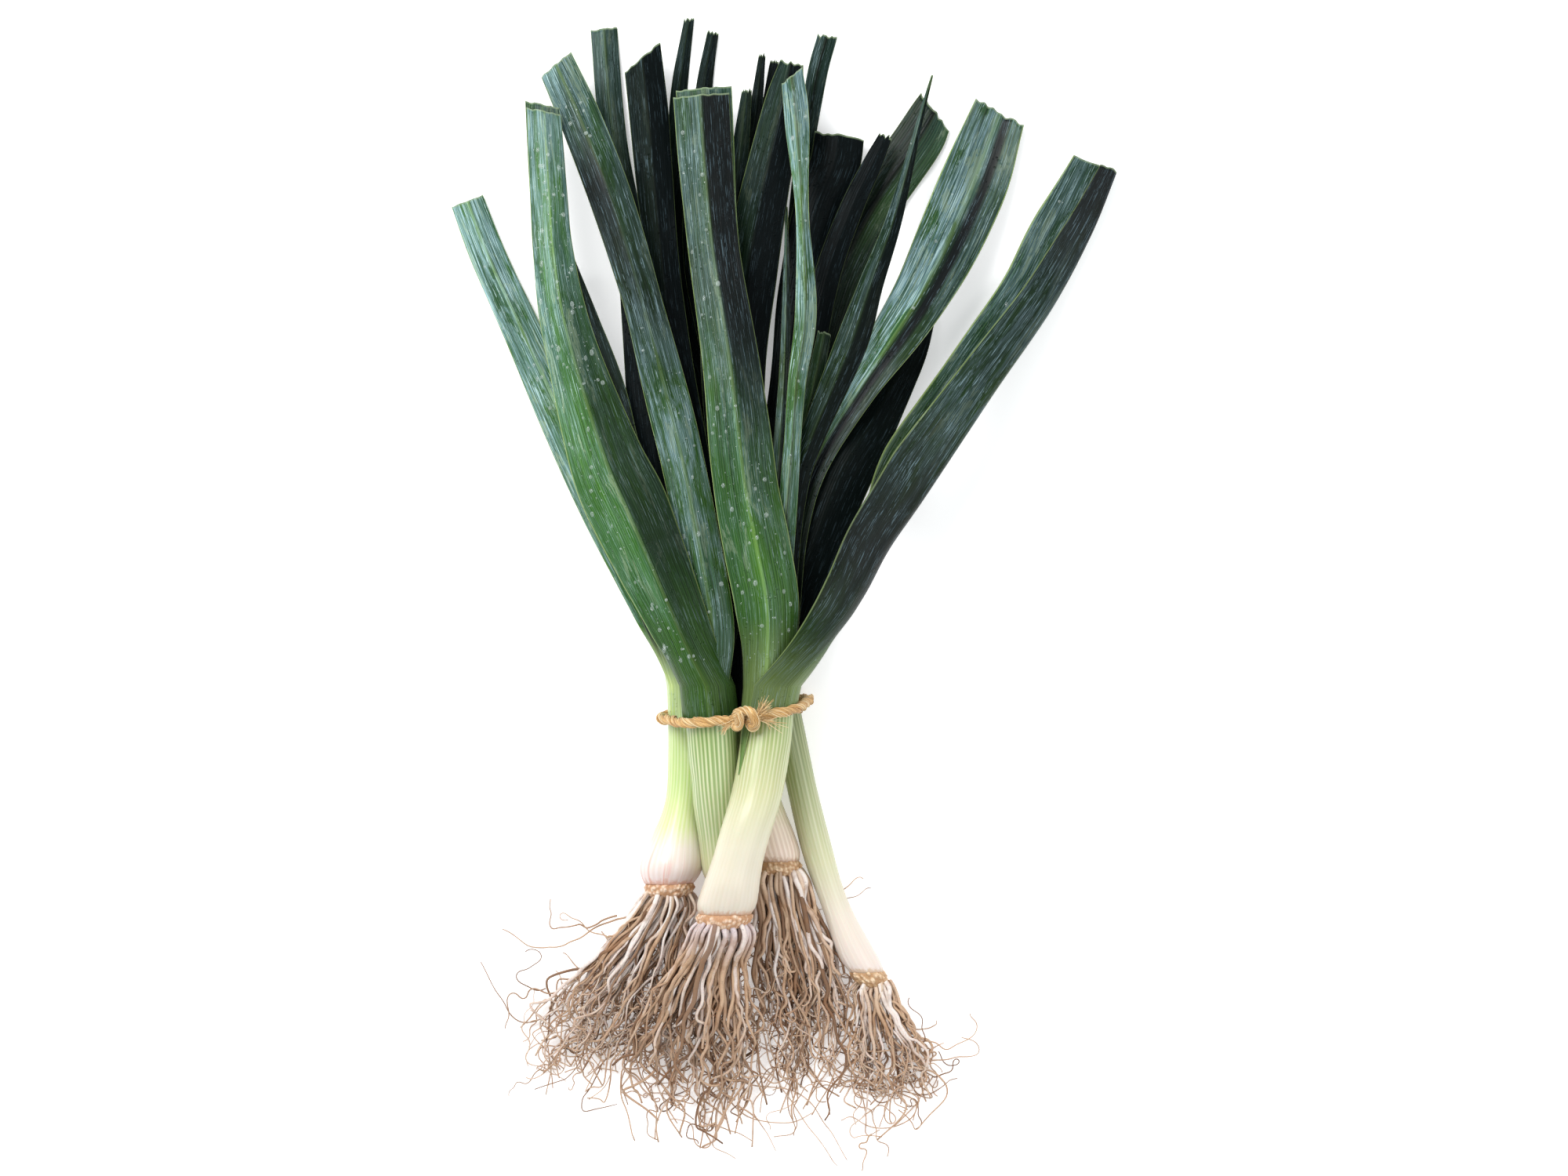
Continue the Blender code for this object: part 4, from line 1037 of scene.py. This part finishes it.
def main_roots(plant, disc, count, spread, thickness, draw):
    """Strands that leave the disc, keep to the envelope and curl more towards their ends."""
    form = Envelope(plant)
    paths, radii = [], []
    t = np.linspace(0, 1, ROOT_SAMPLES)
    for _ in range(count):
        start, aside, over = strand_start(disc, draw)
        reach = 0.34 + 0.66 * draw.random()
        x, y, half, low, high = form.at(t * reach)
        middle, thick = (low + high) / 2, (high - low) / 2
        widening = smoothstep(t * 1.5)
        lean = draw.normal() * 0.20
        across = (aside * (0.80 + 0.30 * widening) + lean * t) * spread
        path = np.stack([x + across * half, y + 0.008 * draw.normal() * t, middle + over * thick * 0.9],
                        axis=-1)
        blend = smoothstep(t / 0.22)[:, None]
        outward = np.array([aside * 0.017 + lean * 0.010, -0.014, over * 0.005])
        path = (start + np.outer(t / 0.22, outward)) * (1 - blend) + path * blend
        curl = smoothstep((t * reach - 0.22) / 0.60)
        path = curled(path, 0.0011 * smoothstep(t / 0.1) + 0.0062 * curl, draw)
        base = thickness * (0.55 + 0.6 * draw.random())
        taper = 1 - 0.70 * smoothstep((t - 0.1) * 1.1) * (0.35 + 0.65 * reach)
        radius = np.maximum(base * taper, 0.00030)
        path[:, 2] = np.maximum(path[:, 2], radius)
        paths.append(path)
        radii.append(radius)
    return paths, radii


def fine_roots(mains, count, draw):
    """Hair roots that branch off the strands and curl in small loops."""
    paths, radii = [], []
    samples = ROOT_SAMPLES
    for _ in range(count):
        parent = mains[draw.integers(len(mains))]
        start = parent[int(samples * (0.45 + 0.5 * draw.random()))]
        heading = math.radians(-90 + draw.normal() * 60)
        length = 0.020 + 0.040 * draw.random()
        direction = heading + np.cumsum(wander(samples, 8, draw.integers(1 << 30))) * 0.17
        step = length / samples
        x = start[0] + np.cumsum(np.cos(direction)) * step
        y = start[1] + np.cumsum(np.sin(direction)) * step
        z = start[2] * (1 - 0.85 * np.linspace(0, 1, samples))
        z = np.maximum(z + wander(samples, 12, draw.integers(1 << 30)) * 0.001, 0.0004)
        paths.append(np.stack([x, y, z], axis=-1))
        radii.append(np.linspace(0.00040, 0.00024, samples) * (0.8 + 0.5 * draw.random()))
    return paths, radii


def stray_roots(plant, draw):
    """The plant's stray roots, which sink from the bunch to the floor."""
    paths, radii = [], []
    for route in STRAYS.get(plant, []):
        path = even_path(np.array(route, dtype=float) * MM + [SHIFT_X, SHIFT_Y], ROOT_SAMPLES)
        t = np.linspace(0, 1, ROOT_SAMPLES)
        path = np.column_stack([path, 0.012 * (1 - t) ** 2 + 0.0006])
        path = curled(path, 0.0016 * smoothstep(t / 0.1), draw)
        radius = 0.00062 * (1 - 0.62 * t)
        path[:, 2] = np.maximum(path[:, 2], radius)
        paths.append(path)
        radii.append(radius)
    return paths, radii


def build_roots(plant, disc, material, count, spread, thickness):
    """The strands, hair roots and stray roots of one plant as a single mesh."""
    draw = np.random.default_rng(100 + ord(plant))
    mains, main_radii = main_roots(plant, disc, count, spread, thickness, draw)
    hairs, hair_radii = fine_roots(mains, int(count * 0.8), draw)
    strays, stray_radii = stray_roots(plant, draw)
    paths = np.array(mains + hairs + strays)
    radii = np.array(main_radii + hair_radii + stray_radii)
    sides = 6
    points, faces = tubes(paths, radii, sides)
    low, high = CAD_BOX
    points[:, 0] = np.clip(points[:, 0], low[0] - SIDE_ROOM, high[0] + SIDE_ROOM)
    points[:, 1] = np.maximum(points[:, 1], low[1] - END_ROOM)
    points[:, 2] = np.maximum(points[:, 2], 0.0)
    strands = len(paths)
    along = np.tile(np.repeat(np.linspace(0, 1, ROOT_SAMPLES), sides), strands)
    along[len(mains) * ROOT_SAMPLES * sides:] = 0.9
    tints = draw.random(strands)
    tint = np.repeat(tints, ROOT_SAMPLES * sides)
    made = add_mesh(f"leek_{plant}_root_strands", points, faces, material, {"along": along, "tint": tint})
    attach(made, "root")
    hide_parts(f"leek_{plant}_roots")


# Twine

def tie_route(samples):
    """The twine's closed centre line, tight around the five shafts."""
    circles = []
    for line in LINES.values():
        for place in (-TIE_BAND, 0.0, TIE_BAND):
            circles.append([along_line(line, SHIFT_Y + place, key) for key in ("x", "z", "radius")])
    circles = np.array(circles)
    middle = circles[:, :2].mean(axis=0)
    outward = TWINE_DIAMETER / 2 + GAP
    hull = []
    for turn in circle(720):
        aim = np.array([math.cos(turn), math.sin(turn)])
        best = circles[np.argmax(circles[:, :2] @ aim + circles[:, 2])]
        hull.append(best[:2] + (best[2] + outward) * aim)
    hull = np.array(hull + hull[:1])
    along = running(np.hypot(*np.diff(hull, axis=0).T))
    places = np.linspace(0, along[-1], samples, endpoint=False)
    x = np.interp(places, along, hull[:, 0])
    z = np.interp(places, along, hull[:, 1])
    for _ in range(samples // 60):
        x = (np.roll(x, 1) + x + np.roll(x, -1)) / 3
        z = (np.roll(z, 1) + z + np.roll(z, -1)) / 3
    turn = np.arctan2(z - middle[1], x - middle[0])
    y = SHIFT_Y + TIE_SLOPE * (x - SHIFT_X) - TIE_TILT * np.sin(turn)
    return np.stack([x, y, z], axis=-1), along[-1]


def path_frame(path, closed):
    """Two directions square to the path and to each other, at each of its samples."""
    if closed:
        ahead = np.roll(path, -1, axis=0) - np.roll(path, 1, axis=0)
    else:
        ahead = np.gradient(path, axis=0)
    ahead = unit(ahead)
    aside = unit(np.cross(ahead, [0.0, 1.0, 0.05]))
    return aside, np.cross(ahead, aside)


def twisted(path, closed, turns, offset, radius):
    """Strands wound round a path, each a bundle of fibres that stand a little proud of it."""
    aside, over = path_frame(path, closed)
    count = len(path)
    wind = np.linspace(0, 2 * math.pi * turns, count, endpoint=not closed)
    paths, radii, tints = [], [], []
    for k in range(TWINE_STRANDS):
        phase = wind + 2 * math.pi * k / TWINE_STRANDS
        centre = path + aside * (offset * np.cos(phase))[:, None] + over * (offset * np.sin(phase))[:, None]
        paths.append(centre)
        radii.append(np.full(count, radius))
        tints.append(0.2)
        for f in range(TWINE_FIBRES):
            own = 2 * phase + 2 * math.pi * f / TWINE_FIBRES
            stand = radius * (0.90 + 0.10 * rng.random())
            loose = radius * 0.16 * wander(count, 24, rng.integers(1 << 30))
            place = centre + aside * ((stand + loose) * np.cos(own))[:, None]
            paths.append(place + over * ((stand + loose) * np.sin(own))[:, None])
            radii.append(np.full(count, radius * (0.16 + 0.10 * rng.random())))
            tints.append(rng.random())
    return paths, radii, tints


def frayed_end(start, heading, count, length):
    """Loose fibres that fan out from a cut end of the twine."""
    paths, radii, tints = [], [], []
    samples = 24
    t = np.linspace(0, 1, samples)
    heading = np.array(heading) / np.linalg.norm(heading)
    for _ in range(count):
        spread = rng.normal(size=3) * np.array([0.30, 0.30, 0.16])
        reach = length * (0.55 + 0.6 * rng.random())
        path = np.array(start) + rng.normal(size=3) * 0.0007 + np.outer(t * reach, heading)
        path += np.outer(t ** 1.7 * reach, spread)
        paths.append(path)
        radii.append(np.full(samples, 0.00022 * (0.6 + 0.8 * rng.random())) * (1 - 0.5 * t))
        tints.append(0.4 + 0.6 * rng.random())
    return paths, radii, tints


def knot_path(centre, samples):
    """A flat overhand knot lying on the front of the tie, both its ends cut short."""
    t = np.linspace(0, 1, samples)
    turn = 2 * math.pi * (0.15 + 1.75 * t)
    x = -0.0075 + 0.015 * t + 0.0035 * np.sin(turn)
    y = 0.0046 * np.cos(turn)
    z = 0.0042 + 0.0030 * np.sin(turn + 0.6)
    return np.stack([centre[0] + x, centre[1] + y, centre[2] + z], axis=-1)


def add_strands(name, groups, sides, material):
    """One mesh of many tubes; each group has its paths, radii and tints, and may be closed."""
    points, faces, tint, flat = [], [], [], []
    first = 0
    for paths, radii, tints, closed in groups:
        samples = len(paths[0])
        array = np.array(paths)
        if closed:
            array = np.concatenate([array, array[:, :1]], axis=1)
            radii = [np.append(r, r[0]) for r in radii]
            samples += 1
        made, made_faces = tubes(array, np.array(radii), sides)
        points.append(made)
        faces.extend([[index + first for index in face] for face in made_faces])
        first += len(made)
        for k, value in enumerate(tints):
            tint.append(np.full(samples * sides, value))
            around = np.tile(np.linspace(0, 0.004, sides, endpoint=False), samples)
            length = np.repeat(np.arange(samples) * 0.0006, sides)
            flat.append(np.stack([around, length, np.full_like(length, k * 1.7)], axis=-1))
    return add_mesh(name, np.concatenate(points), faces, material,
                    {"tint": np.concatenate(tint), "flat": np.concatenate(flat)})


def build_twine(material):
    """The tie, its knot and the loose fibres at the knot's two cut ends and at one pulled strand."""
    route, length = tie_route(TWINE_SAMPLES)
    turns = round(length / TWINE_LAY)
    ring = twisted(route, True, turns, TWINE_DIAMETER * 0.20, TWINE_DIAMETER * 0.23)
    front = route[np.argmin(np.hypot(route[:, 0] - SHIFT_X - KNOT_PLACE, 0.4 * (0.2 - route[:, 2])))]
    knot = knot_path(front, KNOT_SAMPLES)
    loops = twisted(knot, False, KNOT_TURNS, TWINE_DIAMETER * 0.19, TWINE_DIAMETER * 0.22)
    left = frayed_end(front + [-0.0085, -0.003, 0.0025], (-0.9, -0.6, 0.0), 34, 0.0062)
    right = frayed_end(front + [0.0050, -0.0005, 0.0055], (0.7, 0.8, 0.25), 110, 0.010)
    strand = frayed_end(front + [0.010, -0.001, 0.004], (1.0, -0.25, 0.1), 12, 0.012)
    groups = [(*ring, True)] + [(*group, False) for group in (loops, left, right, strand)]
    made = add_strands("twine_strands", groups, 6, material)
    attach(made, "root")
    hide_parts("twine_tie")


# Water drops

# Light on a blade below which no drop stands out, so that none is made
LIT = 0.45


def build_drops(surfaces, material):
    """Flattened drops of water standing on the upper faces of the front leaves."""
    draw = np.random.default_rng(5)
    rings, sides = 5, 10
    lat = np.linspace(0, math.pi / 2, rings)
    turn = circle(sides)
    dome = np.stack([np.outer(np.cos(lat), np.cos(turn)), np.outer(np.cos(lat), np.sin(turn)),
                     np.outer(np.sin(lat), np.ones(sides))], axis=-1).reshape(-1, 3)
    base_faces = grid_faces(rings, sides, around=True)
    base_faces.append(list(range(sides - 1, -1, -1)))
    points, faces = [], []
    for (top, bottom, normal, light), count in surfaces:
        for _ in range(count):
            row = draw.integers(int(len(top) * 0.14), len(top) - 6)
            column = draw.integers(3, LEAF_COLUMNS - 3)
            upward = normal[row, column]
            centre = top[row, column]
            if upward[2] < 0:
                upward, centre = -upward, bottom[row, column]
            if upward[2] < 0.3 or light[row, column] < LIT:
                continue
            size = 0.00034 + 0.0011 * draw.random() ** 4
            side = np.cross(upward, [0, 1, 0])
            side /= np.linalg.norm(side)
            ahead = np.cross(upward, side)
            stretch = 1 + 0.8 * draw.random() ** 2
            local = dome * size
            place = centre + local[:, :1] * side + local[:, 1:2] * stretch * ahead
            place = place + local[:, 2:] * 0.6 * upward
            first = len(points) * len(dome)
            points.append(place - upward * 0.00003)
            faces.extend([[index + first for index in face] for face in base_faces])
    made = add_mesh("water_drops", np.concatenate(points), faces, material)
    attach(made, "root")


# Stage

# Brightness of the surroundings near the horizon and overhead
HORIZON_LIGHT, SKY_LIGHT = 1.05, 0.58


def build_stage():
    """A wide pale floor, a soft world that is brightest near the horizon, and two large lamps."""
    s = Shader("pale_floor")
    s.feed(s.principled.inputs["Emission Color"], (1, 1, 1, 1))
    pale = s.finish((0.92, 0.92, 0.92, 1), 0.9, None, Specular_IOR_Level=0.1, Emission_Strength=0.34)
    half = 9.0
    corners = [(x, y, -FLOOR_DROP) for x, y in ((-half, -half), (half, -half), (half, half), (-half, half))]
    floor = add_mesh("floor", corners, [(0, 1, 2, 3)], pale)
    world = bpy.data.worlds.new("studio")
    world.use_nodes = True
    tree = world.node_tree
    upward = tree.nodes.new("ShaderNodeSeparateXYZ")
    height = tree.nodes.new("ShaderNodeMapRange")
    tree.links.new(tree.nodes.new("ShaderNodeTexCoord").outputs["Generated"], upward.inputs[0])
    tree.links.new(upward.outputs[2], height.inputs[0])
    for index, value in ((1, 0.10), (2, 0.45), (3, HORIZON_LIGHT), (4, SKY_LIGHT)):
        height.inputs[index].default_value = value
    tree.links.new(height.outputs[0], tree.nodes["Background"].inputs["Strength"])
    tree.nodes["Background"].inputs["Color"].default_value = (0.95, 0.98, 1.0, 1)
    bpy.context.scene.world = world
    add_light("key", (-0.75, 0.75, 1.25), 0.9, 24)
    add_light("fill", (0.95, -0.35, 1.1), 1.2, 9)
    bpy.context.scene.view_settings.view_transform = "Standard"


def add_light(name, place, size, power):
    """A square lamp that faces the middle of the bundle."""
    lamp = bpy.data.lights.new(name, "AREA")
    lamp.size = size
    lamp.energy = power
    made = put(name, lamp)
    made.location = place
    made.rotation_euler = (-Vector(place)).to_track_quat("-Z", "Y").to_euler()


def build_camera():
    """Looks straight down; the picture takes in the bundle with a margin."""
    view_width = 0.92
    lens, sensor = 100.0, 36.0
    camera_data = bpy.data.cameras.new("camera")
    camera_data.lens = lens
    camera_data.sensor_width = sensor
    camera_data.clip_end = 20
    camera = put("camera", camera_data)
    aim = (SHIFT_X + 0.0276, SHIFT_Y + 0.0713)
    camera.location = (aim[0], aim[1], view_width * lens / sensor)
    bpy.context.scene.camera = camera


# The whole

def build_bundle():
    """Every piece of the bundle with its material."""
    rosy = plate_material("root_disc_rosy", "BC8E68", "ECD4BC", "805436")
    brown = plate_material("root_disc_brown", "B08860", "EAD0AE", "6E482A")
    discs = {"a": rosy, "b": brown, "c": rosy, "d": brown, "e": brown}
    tan_roots = root_material("root_strands_tan", "D6BEA8")
    lilac_roots = root_material("root_strands_lilac", "DED2D6")
    for plant in PLANTS:
        build_shaft(plant, shaft_material("sheaths_" + plant, *SHEATHS[plant]))
        disc = build_plate(plant, discs[plant])
        build_roots(plant, disc, lilac_roots if plant == "c" else tan_roots, *ROOTS[plant])
    # A glossier copy of the blade material, and a duller one for blades in deep painted shade
    waxy = leaf_material("leaf_blade", 0.12, 0.02)
    shaded_matt = leaf_material("leaf_blade_deep", 0.03, 0.0)
    surfaces = {}
    for leaf in LEAVES:
        left_shade, right_shade = PAINTED_SHADE_AND_BLOOM[leaf.key][:2]
        surfaces[leaf.key] = build_leaf(leaf, shaded_matt if np.mean(left_shade + right_shade) > SHADED_COPY_TONE else waxy)
    build_inner_tip("leek_b_leaf_4", surfaces["b4"], -0.0010, waxy)
    build_inner_tip("leek_c_leaf_4", surfaces["c4"], 0.0014, waxy)
    build_sheath_tongue(waxy)
    build_drops([(surfaces[name], count) for name, count in DROPS.items()], water_material())
    build_twine(twine_material())


build_stage()
build_camera()
build_bundle()
